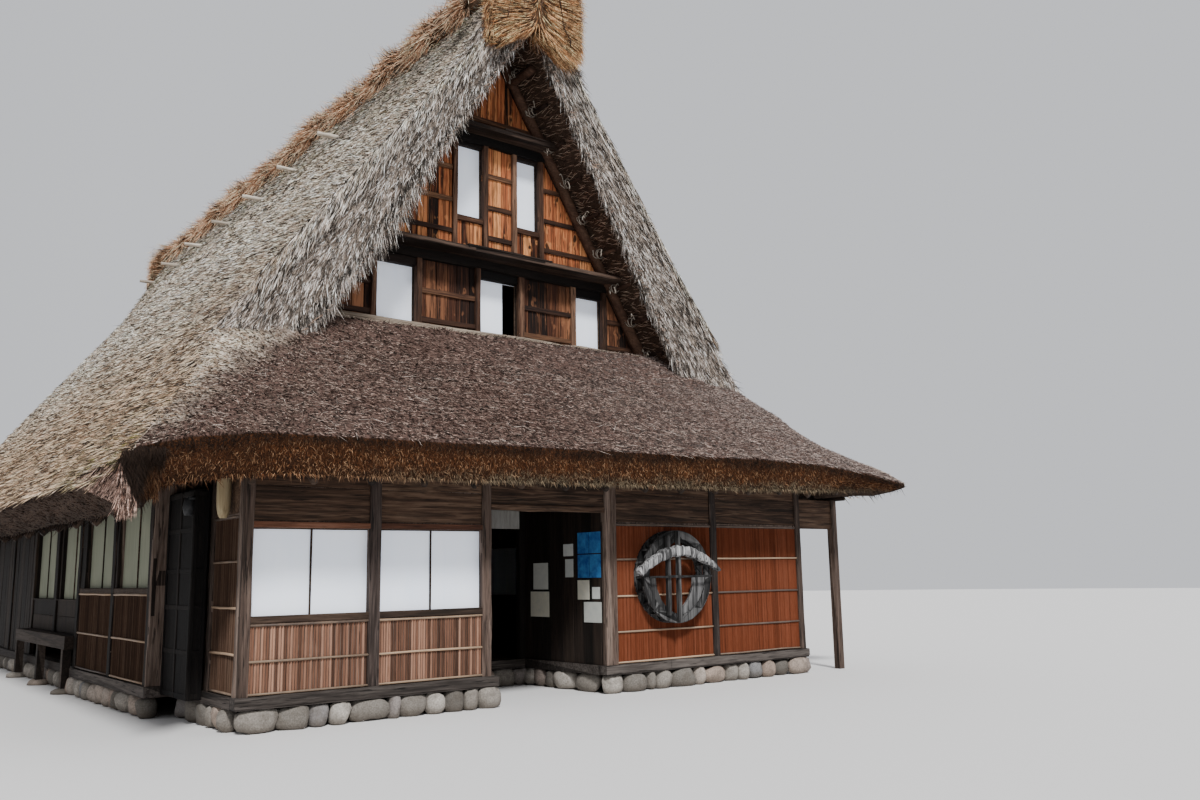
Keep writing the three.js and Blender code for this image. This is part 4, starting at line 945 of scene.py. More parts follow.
def verge_tips(heap, rng, sign, density):
    """Ragged tips that hang past the lower edge of a verge, at both gables."""
    for front, many in ((True, 4600 if sign < 0 else 1800), (False, 700)):
        count = int(many * density)
        h = rng.uniform(0.25, 3.45, count)
        y = verge_face(h) + rng.uniform(-0.02, 0.10, count)
        z = main_under(sign, h) + rng.uniform(-0.02, 0.20, count)
        out = -0.2 if front else 0.2
        along = xyz(sign * rng.uniform(-0.25, 0.45, count), rng.normal(out, 0.15, count), -1)
        reach = 1 + (1.2 if sign < 0 else 0.3) * np.exp(-((h - 2.05) / 0.55) ** 2)
        roots = xyz(AXIS + sign * h, at_end(front, y), z)
        tips(heap, roots, along, (0.08, 0.24), (0.008, 0.015), rng, reach)


def eave_tips(heap, rng, sign, density):
    """Loose ends along the lower edge of a side eave."""
    count = int(1500 * density)
    y = rng.uniform({-1: -0.4, 1: 1.4}[sign], LENGTH + 0.4, count)
    h = rng.uniform(5.25, 5.42, count)
    lift = {-1: 0.0, 1: 0.28}[sign] * np.maximum(0, 1 - (np.minimum(y, LENGTH - y) + 1) / 2.4)
    roots = xyz(AXIS + sign * h, y, main_under(sign, h) + lift + 0.03)
    along = xyz(sign * rng.uniform(0.0, 0.5, count), rng.normal(0, 0.25, count), -1)
    tips(heap, roots, along, (0.03, 0.11), (0.006, 0.011), rng)


def heaped_straw(front, rng):
    """Straw heaped against the sill log along the top edge of a skirt, as a body of its own."""
    heap = Heap()
    section = np.array([(0.70, -0.02), (0.95, 0.015), (1.15, 0.06), (1.33, 0.115), (1.44, 0.14),
                        (1.50, 0.11), (1.50, -0.08), (0.70, -0.10)])
    x = np.linspace(0.60, 7.60, 40)
    z = skirt_lip(x)[:, None] + (section[:, 0] + 1.0) * SKIRT_PITCH + section[:, 1]
    rings = xyz(x[:, None], at_end(front, section[:, 0]), z)
    rings[:, 1:5, 2] += rng.normal(0, 0.008, (40, 4))
    tube(heap, rings, front)
    return heap


def build_skirts(density):
    """Skirt roofs under both gables: matted brown stubble with a cut reddish edge."""
    cut, loose = Heap(), Heap()
    for name, front, count, seed in (("front", True, 41000, 31), ("back", False, 9000, 47)):
        rng = np.random.default_rng(seed)
        mesh = worn_body(f"{name}_skirt_body", f"{name}_skirt_thatch", 0.35, 0.022, seed)
        body = piece(f"{name}_skirt_body", mesh, FINISHES["skirt"], smooth=True,
                     replaces=[f"{name}_skirt_thatch"])
        tris, normals, centres = body_faces(body)
        out = -1.0 if front else 1.0

        def flow(roots):
            """Downhill, turning to the side where the main slope's straw wraps over a hip."""
            inside = np.minimum(roots[:, 1], LENGTH - roots[:, 1])
            past = np.abs(roots[:, 0] - AXIS) - (4.42 - inside * HIP_RATE)
            turn = np.clip((past + 0.9) / 1.2, 0, 1)[:, None] * (roots[:, 0] < AXIS)[:, None]
            return unit(np.array([0, out, -SKIRT_PITCH]) * (1 - turn) + np.array([-1.0, 0, -1.2]) * turn)

        top = normals[:, 2] > 0.3
        face = (normals[:, 1] * out > 0.3) & (normals[:, 2] < 0.3)
        under = (normals[:, 2] < -0.4) & ~face
        mat = Heap()
        behind = np.minimum(centres[:, 1], LENGTH - centres[:, 1]) > 0.85
        covered = behind & (np.abs(centres[:, 0] - AXIS) < 3.2)
        coat(mat, tris[top & ~covered], int(count * density), rng, flow, (0.045, 0.12), (0.011, 0.019),
             sink=0.008, lift=0.034, spread=0.5)
        coat(loose, tris[top], int((3600 if front else 1000) * density), rng, flow, (0.07, 0.26),
             (0.003, 0.006), sink=0.002, lift=0.045, spread=1.0)
        heaped = piece(f"{name}_heaped_straw", heaped_straw(front, rng), FINISHES["skirt"],
                       smooth=True)
        heap_tris = triangles(heaped)
        heap_top = heap_tris[normals_of(heap_tris)[:, 2] > 0.2]
        coat(mat, heap_top, int((8500 if front else 2000) * density), rng, flow, (0.05, 0.14),
             (0.010, 0.018), sink=0.008, lift=0.05, spread=0.7)
        piece(f"{name}_skirt_straw", mat, FINISHES["skirt_straw"])
        many = 18500 if front else 3600
        coat(cut, tris[face], int(many * density), rng, np.array([0, out, -0.9]), (0.03, 0.075),
             (0.010, 0.016), sink=0.01, lift=0.045, spread=0.8)
        coat(cut, tris[under], int(many * 0.15 * density), rng, np.array([0, out, -0.2]), (0.08, 0.2),
             (0.007, 0.012), sink=0.01, lift=0.03, spread=0.4)
        count = int((3400 if front else 1500) * density)
        x = rng.uniform(-1.1, 9.2, count)
        y = rng.uniform(-0.82, -0.66, count)
        along = xyz(rng.normal(0, 0.35, count), out * rng.uniform(0, 0.6, count), -1)
        roots = xyz(x, at_end(front, y), skirt_under(x, y) + 0.03)
        tips(cut, roots, along, (0.03, 0.095), (0.006, 0.011), rng)
    piece("cut_eave_straw", cut, FINISHES["cut_straw"])
    piece("loose_straw", loose, FINISHES["loose_straw"])


def ridge_coats(density, rng):
    """The ridge bundle: a worn body under straw that is thinner at each tie."""
    body = piece("ridge_body", worn_body("ridge_body", "ridge_bundle", 0.3, 0.085, 59), FINISHES["ridge"],
                 smooth=True, replaces=["ridge_bundle"])
    tris, normals, centres = body_faces(body)
    skin = (np.abs(normals[:, 1]) < 0.6) & (normals[:, 2] > -0.75)
    bundle = Heap()

    def tied(c):
        """More straw near the front, less at the ties between the bundles."""
        return (1.6 - 1.1 * c[:, 1] / LENGTH) * (0.15 + np.sin(np.pi * (c[:, 1] - 1.2) / 1.45) ** 2)

    for sign in (-1, 1):
        gap = (centres[:, 1] < 1.95) & (normals[:, 2] < 0.75) & (sign < 0)
        part = skin & ((centres[:, 0] - AXIS) * sign > -0.1) & ~gap
        coat(bundle, tris[part], int(7000 * density), rng, np.array([sign, 0.4, -1.0]), (0.18, 0.40),
             (0.011, 0.020), sink=0.02, lift=0.19, spread=1.2, weight=tied)
        coat(bundle, tris[part & (normals[:, 2] < 0.35)], int(3000 * density), rng,
             np.array([0.6 * sign, 0.0, -1.0]), (0.26, 0.56), (0.011, 0.019), sink=0.02, lift=0.32,
             spread=0.7, weight=tied)
    piece("ridge_straw", bundle, FINISHES["ridge_straw"])


def cap_fan(cap, out, many, density, rng):
    """Straw laid over a cap, fanned from its crown and cut level at its foot and sides."""
    fan = Heap()
    count = int(many * density)
    roots, facing = scatter(triangles(cap), count, rng)
    h = roots[:, 0] - AXIS
    fall = np.clip((9.70 - roots[:, 2]) * 1.1, 0.03, 1.0) + rng.normal(0, 0.05, count)
    sideways = np.clip(h / 0.15, -1, 1) + rng.normal(0, 0.05, count)
    along = unit(xyz(sideways, out * 0.12, -fall))
    along = unit(along - facing * (along * facing).sum(1, keepdims=True) * 0.9)
    along = unit(along + facing * rng.uniform(0.02, 0.24, (count, 1)))
    beside = (CAP_HALF + rng.normal(0, 0.03, count) - np.abs(h)) / np.maximum(np.abs(along[:, 0]), 0.05)
    below = (roots[:, 2] - CAP_FOOT - rng.normal(0, 0.04, count)) / np.maximum(-along[:, 2], 0.05)
    length = np.minimum(rng.uniform(0.16, 0.38, count), np.minimum(beside, below))
    straws(fan, roots - facing * 0.012, along, np.clip(length, 0.04, None),
           rng.uniform(0.007, 0.013, count), rng)
    wild = int(700 * density)
    side = rng.choice([-1, 1, 1], wild)
    roots = xyz(AXIS + side * rng.uniform(0.35, 0.66, wild), at_end(out < 0, 0.72),
                rng.uniform(9.1, 10.3, wild))
    along = xyz(side * rng.uniform(0.3, 1.0, wild), out * rng.uniform(0.1, 0.8, wild),
                rng.normal(-0.1, 0.5, wild))
    straws(fan, roots, along, rng.uniform(0.16, 0.34, wild), 0.006, rng)
    return fan


def build_ridge(density):
    """The ridge bundle with its pegs, and the golden straw caps at its ends."""
    rng = np.random.default_rng(59)
    ridge_coats(density, rng)
    vines, pegs = Heap(), Heap()
    for name, out, many, straw in (("front", -1.0, 16000, "cap_straw"), ("back", 1.0, 5000, "ridge_straw")):
        node = f"{name}_ridge_cap"
        cap = piece(f"{name}_cap_body", worn_body(f"{name}_cap_body", node, 0.13, 0.03, 61),
                    FINISHES["ridge"], smooth=True, replaces=[node])
        piece(f"{name}_cap_straw", cap_fan(cap, out, many, density, rng), FINISHES[straw])
        for x, lean, foot in ((3.66, 0.06, 9.1), (3.86, 0.04, 9.3), (4.18, 0.05, 9.2), (4.55, -0.10, 9.0)):
            z = np.linspace(10.30, foot, 12)
            y = at_end(out < 0, 0.575) + out * 0.02 * np.cos(z * 5)
            pole(vines, xyz(x + lean * np.sin((10.4 - z) * 3.2), y, z), 0.009, 5, rng, 0.012)
    piece("cap_vines", vines, FINISHES["dark_vine"], smooth=True)
    for sign, y in PEG_PLACES:
        h = np.linspace(0.62, 1.125, 6)
        line = xyz(AXIS + sign * h, y, PEG_HEIGHT - 0.03 * (h - 0.9))
        pole(pegs, line, np.linspace(0.044, 0.036, 6), 10, rng, 0.002)
    piece("ridge_pegs", pegs, FINISHES["peg"], smooth=True)


def build_under_eaves():
    """Poles that carry the straw under all four eaves."""
    rng = np.random.default_rng(67)
    heap = Heap()
    for front in (True, False):
        for y in (-0.62, -0.22):
            x = np.linspace(-0.9, 8.3, 14)
            pole(heap, xyz(x, at_end(front, y), skirt_under(x, y) - 0.03), 0.030, 7, rng, 0.005)
        for x in np.arange(-0.2, 8.7, 0.62):
            y = np.linspace(-0.72, 0.0, 5)
            pole(heap, xyz(x, at_end(front, y), skirt_under(x, y) - 0.085), 0.040, 7, rng, 0.006)
    for sign, wall in ((-1, 4.50), (1, 4.33)):
        for h in (5.15, 4.80):
            y = np.linspace(-0.2, LENGTH + 0.2, 20)
            pole(heap, xyz(AXIS + sign * h, y, float(main_under(sign, h)) - 0.035), 0.035, 7, rng, 0.006)
        for y in np.arange(0.35, LENGTH, KEN / 2):
            h = np.linspace(5.28, wall, 5)
            pole(heap, xyz(AXIS + sign * h, y, main_under(sign, h) - 0.105), 0.05, 7, rng, 0.006)
    piece("eave_poles", heap, FINISHES["timber"], smooth=True)


# Gables

# Each row of gable windows: heights of the wall, spans and heights of the paper, posts and rails.
UPPER_ROW = {"z": (6.012, 7.83), "windows": [(3.47, 3.90), (4.48, 4.88)], "glass": (6.58, 7.65),
             "posts": [(3.395, 3.47), (3.90, 3.98), (4.40, 4.48), (4.88, 4.965)], "rails": (6.32, 6.78, 7.26)}
LOWER_ROW = {"z": (4.862, 5.95), "windows": [(2.24, 2.83), (3.85, 4.50), (5.55, 6.06)], "glass": (4.87, 5.70),
             "posts": [(2.16, 2.24), (2.83, 2.915), (3.77, 3.85), (4.50, 4.60), (5.46, 5.55), (6.06, 6.15)],
             "rails": (4.965, 5.375)}


def slope_limit(z):
    """Half the clear width between the gable's rafters at a height."""
    return (INNER_APEX - z) / INNER_PITCH - 0.12


def planks(heap, rng, side, low, high, span, width=(0.11, 0.21)):
    """Upright planks over a span of the gable, each cut short under the rafters."""
    u = span[0]
    while u < span[1] - 0.02:
        wide = min(rng.uniform(*width), span[1] - u)
        if span[1] - u - wide < 0.05:
            wide = span[1] - u
        far = max(abs(u - AXIS), abs(u + wide - AXIS))
        top = min(high, INNER_APEX - INNER_PITCH * (far - wide * 0.6 + 0.10))
        if top > low + 0.05:
            d = rng.uniform(-0.004, 0.004)
            board(heap, (u + 0.005, GABLE_FACE - 0.016 + d, low), (u + wide - 0.005, GABLE_FACE + 0.01, top),
                  rng, 0.0015, 0.004, 3, side)
        u += wide


def build_gable(end, seed):
    """One gable: planks, rails and posts around its windows, beams, ledges and the sill log."""
    rng = np.random.default_rng(seed)
    side = SIDES[end]
    upper, lower, rails, posts, dark, ledges, log = (Heap() for _ in range(7))

    def fit(heap, a, b, low, high, out, back, *looks):
        """A board from a to b along the wall, between two distances from the gable's face."""
        board(heap, (a, GABLE_FACE + out, low), (b, GABLE_FACE + back, high), rng, *looks, side=side)

    planks(upper, rng, side, 7.895, 9.2, (AXIS - 0.95, AXIS + 0.95))
    half = slope_limit(8.1)
    fit(rails, AXIS - half, AXIS + half, 8.06, 8.14, -0.05, -0.01)
    for row, heap in ((UPPER_ROW, upper), (LOWER_ROW, lower)):
        low, high = row["z"]
        glass_low, glass_high = row["glass"]
        limit = slope_limit(low)
        edges = [AXIS - limit, *[v for window in row["windows"] for v in window], AXIS + limit]
        for span in zip(edges[::2], edges[1::2]):
            planks(heap, rng, side, low, high, span)
            for z in row["rails"]:
                inside = slope_limit(z)
                a, b = max(span[0], AXIS - inside), min(span[1], AXIS + inside)
                if b - a > 0.05:
                    fit(rails, a, b, z - 0.036, z + 0.036, -0.042, -0.014, 0.002)
        for a, b in row["windows"]:
            if glass_low - low > 0.1:
                planks(heap, rng, side, low, glass_low - 0.08, (a, b), (0.09, 0.15))
                fit(rails, a, b, glass_low - 0.085, glass_low - 0.004, -0.05, 0.03, 0.002)
            fit(dark, a, b, glass_high + 0.002, high, -0.03, 0.02)
        for a, b in row["posts"]:
            far = max(abs(a - AXIS), abs(b - AXIS))
            top = min(high, INNER_APEX - INNER_PITCH * (far + 0.06))
            fit(posts, a, b, low, top, -0.07, 0.01, 0.003, 0.008)
        beam = slope_limit(high)
        fit(dark, AXIS - beam, AXIS + beam, high - 0.13, high, -0.09, -0.015, 0.005)
    for front, top, half in ((1.36, 6.01, 1.95), (1.42, 7.89, 0.80)):
        cuts = np.linspace(-half, half, 4 if half > 1 else 3)
        for i, (a, b) in enumerate(zip(cuts[:-1], cuts[1:])):
            a, b, z = AXIS + a - 0.06, AXIS + b + 0.06, top - 0.02 + 0.022 * (i % 2)
            board(ledges, (a, front - 0.015 * (i % 2), z), (b, 1.715, z + 0.024), rng, 0.004, 0.005,
                  side=side)
            board(ledges, (a, front - 0.004, z - 0.030), (b, front + 0.02, z + 0.012), rng, 0.003, 0.005,
                  side=side)
    board(log, (AXIS - 2.75, 1.505, 4.68), (AXIS + 2.75, 1.72, 4.868), rng, 0.007, 0.045, 16, side)
    for name, heap, finish, slot in (
            ("upper_planks", upper, "planks", "gable_board"),
            ("lower_planks", lower, "lower_planks", "gable_board"),
            ("gable_rails", rails, "rails", "gable_board"),
            ("gable_posts", posts, "gable_post", "gable_board"),
            # The beams and the boards over the windows take the near-black finish of painted shade.
            ("gable_beams", dark, "shaded_gable_beam", "dark_board"),
            ("ledge_boards", ledges, "ledge", "dark_board")):
        piece(f"{end}_{name}", heap, FINISHES[finish])
    piece(f"{end}_sill_log", log, FINISHES["gable_log"], replaces=[f"{end}_gable_sill"])


def build_gable_frame(end, seed):
    """Round rafters in front of one gable wall, purlin ends under the straw and their rope ties."""
    rng = np.random.default_rng(seed)
    side = SIDES[end]
    logs, ropes = Heap(), Heap()
    for sign in (-1, 1):
        h = np.linspace(2.88, 0.04, 14)
        line = xyz(AXIS + sign * h, 1.665, INNER_APEX - INNER_PITCH * h - 0.165)
        tilted = side.place(line + rng.normal(0, 0.006, line.shape))
        pole(logs, tilted, np.linspace(0.088, 0.070, 14), 10, rng, 0.004)
        for z in np.linspace(4.90, 8.9, 9):
            h = (INNER_APEX - z) / INNER_PITCH - 0.035
            ends = xyz(AXIS + sign * h, np.linspace(1.22, 2.1, 5), z - 0.02)
            pole(logs, side.place(ends), np.linspace(0.030, 0.038, 5), 8, rng, 0.004)
            for turn in range(3):
                angle = np.linspace(0, 2 * np.pi, 12)
                radius = rng.uniform(0.060, 0.085)
                y = 1.60 - 0.055 * turn + rng.normal(0, 0.01)
                ring = xyz(AXIS + sign * (h - 0.05) + radius * np.cos(angle),
                           y + 0.03 * np.sin(angle + turn), z - 0.03 + radius * 0.9 * np.sin(angle))
                pole(ropes, side.place(ring), 0.007, 4, rng, 0.003)
            for _ in range(2):
                t = np.linspace(0, 1, 7)[:, None]
                start = np.array([AXIS + sign * (h - 0.12), rng.uniform(1.35, 1.6),
                                  z + rng.uniform(-0.1, 0.05)])
                reach = np.array([-sign * rng.uniform(0.0, 0.12), rng.uniform(-0.15, 0.0),
                                  rng.uniform(-0.16, 0.06)])
                curl = np.array([0, 0, 0.05]) * np.sin(t * np.pi)
                pole(ropes, side.place(start + reach * t + curl), 0.007, 4, rng, 0.003)
    ridge_log = xyz(AXIS + 0.22, np.linspace(1.12, 1.80, 5), 8.80)
    pole(logs, side.place(ridge_log), 0.062, 10, rng, 0.002)
    piece(f"{end}_rafter_logs", logs, FINISHES["log"], smooth=True)
    piece(f"{end}_rope_ties", ropes, FINISHES["rope"], smooth=True)


# Walls

def reeds(heap, rng, side, span, z, pitch):
    """Upright reeds side by side over a panel, as closed three-sided stems."""
    count = max(1, int((span[1] - span[0]) / pitch))
    u = np.linspace(span[0], span[1], count + 1)
    crown = 0.013 + rng.uniform(0, 0.006, count)
    back = 0.034
    lean = rng.normal(0, 0.0015, count)
    rows = []
    for height, shift in zip(z, (0, lean)):
        rows += [xyz(u[:-1] + shift, back, height), xyz((u[:-1] + u[1:]) / 2 + shift, 0.030 - crown, height),
                 xyz(u[1:] + shift, back, height)]
    base = np.arange(count)[:, None, None] * 6
    quads = (np.array([[0, 1, 4, 3], [1, 2, 5, 4], [2, 0, 3, 5]]) + base).reshape(-1, 4)
    caps = (np.array([[0, 2, 1], [3, 4, 5]]) + base).reshape(-1, 3)
    start = heap.count
    heap.add(side.place(np.stack(rows, 1)), quads, side.mirrored)
    heap.faces.append((caps[:, ::-1] if side.mirrored else caps) + start)


def batten(heap, rng, side, span, z):
    """A bamboo batten along a panel."""
    count = max(4, int((span[1] - span[0]) / 0.3))
    line = xyz(np.linspace(span[0], span[1], count), 0.010, z)
    pole(heap, side.place(line), 0.013, 7, rng, 0.0018)


def bays(*which):
    """Spans between the posts of the right wall, by the number of the first post."""
    return [(k * KEN + 0.055, (k + 1) * KEN - 0.055) for k in which]


# Kinds of wall: the reeds' foot and top, the battens' heights and where the boards above begin.
RAILED = {"reeds": (PANEL_FOOT, 1.062), "battens": (0.372, 0.69, 1.048), "boards": 2.10, "finish": "old_reed"}
REEDED = {"reeds": (PANEL_FOOT, 2.14), "battens": (0.372, 0.755, 1.21, 1.68, 2.13), "boards": 2.165,
          "finish": "reed"}
CORNER = {"reeds": (PANEL_FOOT, 2.14), "battens": (0.372, 0.76, 1.22, 1.69, 2.15), "boards": 2.18,
          "finish": "shaded_reed"}
BAY = {"reeds": (PANEL_FOOT, 1.366), "battens": (0.372, 0.83, 1.352), "boards": 2.49, "finish": "shaded_reed"}

# Each wall: its side, its kind, the tops of its posts and boards, its posts and its panels.
WALLS = [
    ("front", RAILED, (3.02, 3.018), [(0.0, 0.10), (1.39, 1.519), (2.824, 2.945)],
     [(0.10, 1.39), (1.519, 2.824)]),
    ("front", REEDED, (3.02, 3.018), [(4.669, 4.752), (4.766, 4.858), (6.567, 6.678), (8.355, 8.464)],
     [(4.858, 6.567), (6.678, 8.355)]),
    ("left", CORNER, (3.02, 3.018), [(0.085, 0.15), (0.90, 1.0)], [(0.15, 0.90)]),
    ("bay", BAY, (3.035, 3.03), [(1.95, 2.10), (3.60, 3.73), (5.46, 5.59)], [(2.10, 3.60), (3.73, 5.46)]),
    ("right", RAILED, (3.20, 3.19), [(k * KEN - 0.055, k * KEN + 0.055) for k in range(1, 10)],
     bays(1, 2, 4, 5, 7, 8)),
    ("right", REEDED, (3.20, 3.19), [(0.0, 0.10), (18.10, 18.20)],
     [(0.10, 1.765), *bays(3, 6), (9 * KEN + 0.055, 18.10)]),
    ("back", RAILED, (3.02, 3.018), [(-0.25, -0.15), (1.39, 1.50), (2.835, 2.945), (4.669, 4.78),
                                     (6.567, 6.678), (8.355, 8.464)],
     [(1.50, 2.835), (2.945, 4.669), (4.78, 6.567)]),
    ("back", REEDED, (3.02, 3.018), [], [(-0.15, 1.39), (6.678, 8.355)]),
]

# Paper windows: their side, their spans and their foot and top.
WINDOWS = [
    ("front", [(0.10, 1.39), (1.519, 2.824)], (1.137, 2.03)),
    ("bay", [(2.11, 3.52), (3.80, 5.22)], (1.43, 2.48)),
    ("veranda", [(5.80, 7.20), (7.70, 9.10)], (1.27, 2.36)),
    ("right", bays(1, 2, 4, 5, 7, 8), (1.137, 2.03)),
    ("back", [(1.51, 2.825), (2.955, 4.66), (4.79, 6.56)], (1.137, 2.03)),
]


def build_walls():
    """Reed panels, battens, boards, rails and posts on every outer wall."""
    rng = np.random.default_rng(71)
    fields = {"reed": Heap(), "old_reed": Heap(), "shaded_reed": Heap()}
    battens, boards, strips, ledges, posts, grey_posts, side_posts = (Heap() for _ in range(7))
    for place, kind, (post_top, board_top), uprights, panels in WALLS:
        side = SIDES[place]
        railed = kind is RAILED
        for a, b in uprights:
            heap = side_posts if place == "bay" else grey_posts if a in (1.39, 6.567) else posts
            board(heap, (a - 0.003, -0.006, SILL), (b + 0.003, 0.05, post_top), rng, 0.003, 0.010, 9, side)
        for a, b in panels:
            reeds(fields[kind["finish"]], rng, side, (a, b), kind["reeds"], 0.030 if railed else 0.018)
            for z in kind["battens"]:
                batten(battens, rng, side, (a, b), z)
            low = kind["boards"]
            joints = [low + 0.36, low + 0.66] if board_top - low > 0.8 else [(low + board_top) / 2]
            for z0, z1 in zip([low, *joints], [*joints, board_top]):
                d = rng.uniform(0.014, 0.022)
                board(boards, (a, d, z0 + 0.002), (b, 0.04, z1 - 0.002), rng, 0.002, 0.005, 5, side)
            if railed:
                board(strips, (a, 0.000, 2.032), (b, 0.05, 2.092), rng, 0.0015, 0.004, 4, side)
                board(ledges, (a, -0.002, 1.067), (b, 0.05, 1.135), rng, 0.002, 0.006, 4, side)
    bay = SIDES["bay"]
    for a, b in ((2.10, 3.60), (3.73, 5.46)):
        board(ledges, (a, 0.000, 1.368), (b, 0.05, 1.428), rng, 0.002, 0.006, 4, bay)
    for a, b in ((3.52, 3.80), (5.22, 5.46)):
        board(side_posts, (a, 0.012, 1.43), (b, 0.05, 2.49), rng, 0.002, 0.006, 4, bay)
    board(posts, (-0.340, 1.945, SILL), (0.0, 1.990, 3.03), rng, 0.003, 0.010, 9)
    for name, field in fields.items():
        piece(f"{name}_panels", field, FINISHES[name])
    piece("bamboo_battens", battens, FINISHES["bamboo"], smooth=True)
    for name, heap, finish in (
            ("upper_boards", boards, "boards"), ("window_strips", strips, "strip"),
            ("window_ledges", ledges, "beam"), ("wall_posts", posts, "post"),
            ("grey_wall_posts", grey_posts, "grey_post"), ("side_posts", side_posts, "dark_wall")):
        piece(name, heap, FINISHES[finish])


def build_windows():
    """Stiles between the paper panes and the thin edges that they slide behind."""
    rng = np.random.default_rng(73)
    stiles = Heap()
    for name, spans, (low, high) in WINDOWS:
        side = SIDES[name]
        half = 0.010 if name in ("front", "right", "back") else 0.004
        for a, b in spans:
            middle = (a + b) / 2
            board(stiles, (middle - half, 0.062, low), (middle + half, 0.079, high), rng, 0.0008, 0.002, 3,
                  side)
            board(stiles, (a, 0.066, high - 0.014), (b, 0.079, high), rng, 0.0008, 0.003, 3, side)
    for end in ("front", "back"):
        for row in (UPPER_ROW, LOWER_ROW):
            low, high = row["glass"]
            for a, b in row["windows"]:
                for u in (a, b - 0.012):
                    board(stiles, (u, GABLE_FACE + 0.03, low), (u + 0.012, GABLE_FACE + 0.058, high), rng,
                          0.0008, 0.003, 3, SIDES[end])
    piece("window_stiles", stiles, FINISHES["beam"])


# Blank sheets on the right wall of the recess: from and to along it, foot and top. All of them
# are then moved further in by the same distance.
BLUE_SHEETS = [(u, u + 0.24, z, top) for z, top in ((1.765, 2.04), (1.45, 1.75)) for u in (0.03, 0.28)]
PALE_SHEETS = [(0.28, 0.53, 1.17, 1.42), (0.06, 0.22, 1.18, 1.33), (0.03, 0.40, 0.88, 1.14),
               (0.62, 0.84, 1.74, 1.90), (0.62, 0.80, 1.46, 1.70), (1.20, 1.55, 1.30, 1.66),
               (1.18, 1.62, 0.93, 1.27)]
MOVED_IN = 0.05


def build_entrance():
    """Upright boards in the recess, the lintel's lower rail, blank papers and a blank board."""
    rng = np.random.default_rng(79)
    dark, lintel, notices, blue, plate = (Heap() for _ in range(5))
    for name in ("recess_left", "recess_right"):
        u = 0.10
        while u < 1.80:
            wide = min(rng.uniform(0.14, 0.22), KEN - u)
            out = rng.uniform(-0.002, 0.002) - 0.008
            board(dark, (u + 0.002, out, PANEL_FOOT), (u + wide - 0.002, 0.006, RECESS_TOP), rng, 0.0015,
                  0.004, 4, SIDES[name])
            u += wide
    back, front = SIDES["recess_back"], SIDES["front"]
    for a, b in ((2.948, 3.043), (4.571, 4.666)):
        board(dark, (a, -0.012, PANEL_FOOT), (b, 0.02, RECESS_TOP), rng, 0.002, 0.006, 5, back)
    for z in np.arange(2.155, 2.80, 0.17):
        top = min(z + 0.166, RECESS_TOP)
        board(dark, (3.043, -0.008, z), (4.571, 0.01, top), rng, 0.0015, 0.004, 4, back)
    board(lintel, (2.945, -0.004, 2.275), (4.669, 0.06, 2.345), rng, 0.003, 0.006, 6, front)
    for z0, z1 in ((2.35, 2.66), (2.664, 3.018)):
        board(lintel, (2.945, 0.010, z0), (4.669, 0.05, z1), rng, 0.002, 0.006, 6, front)
    for heap, sheets in ((blue, BLUE_SHEETS), (notices, PALE_SHEETS)):
        for u0, u1, z0, z1 in sheets:
            board(heap, (u0 + MOVED_IN, -0.0125, z0), (u1 + MOVED_IN, -0.0095, z1), rng, 0.0006, 0.0008,
                  4, SIDES["recess_right"])
    board(plate, (2.955, 0.088, 2.055), (3.405, 0.096, 2.30), rng, 0.001, 0.002, 4, front)
    for name, heap, finish, slot in (
            ("recess_boards", dark, "dark_wall", "dark_board"), ("lintel_boards", lintel, "boards", "timber"),
            ("blank_notices", notices, "notice", "shoji_paper"),
            ("blank_blue_notices", blue, "blue_paper", "shoji_paper"),
            ("blank_hanging_board", plate, "painted", "shoji_paper")):
        piece(name, heap, FINISHES[finish])


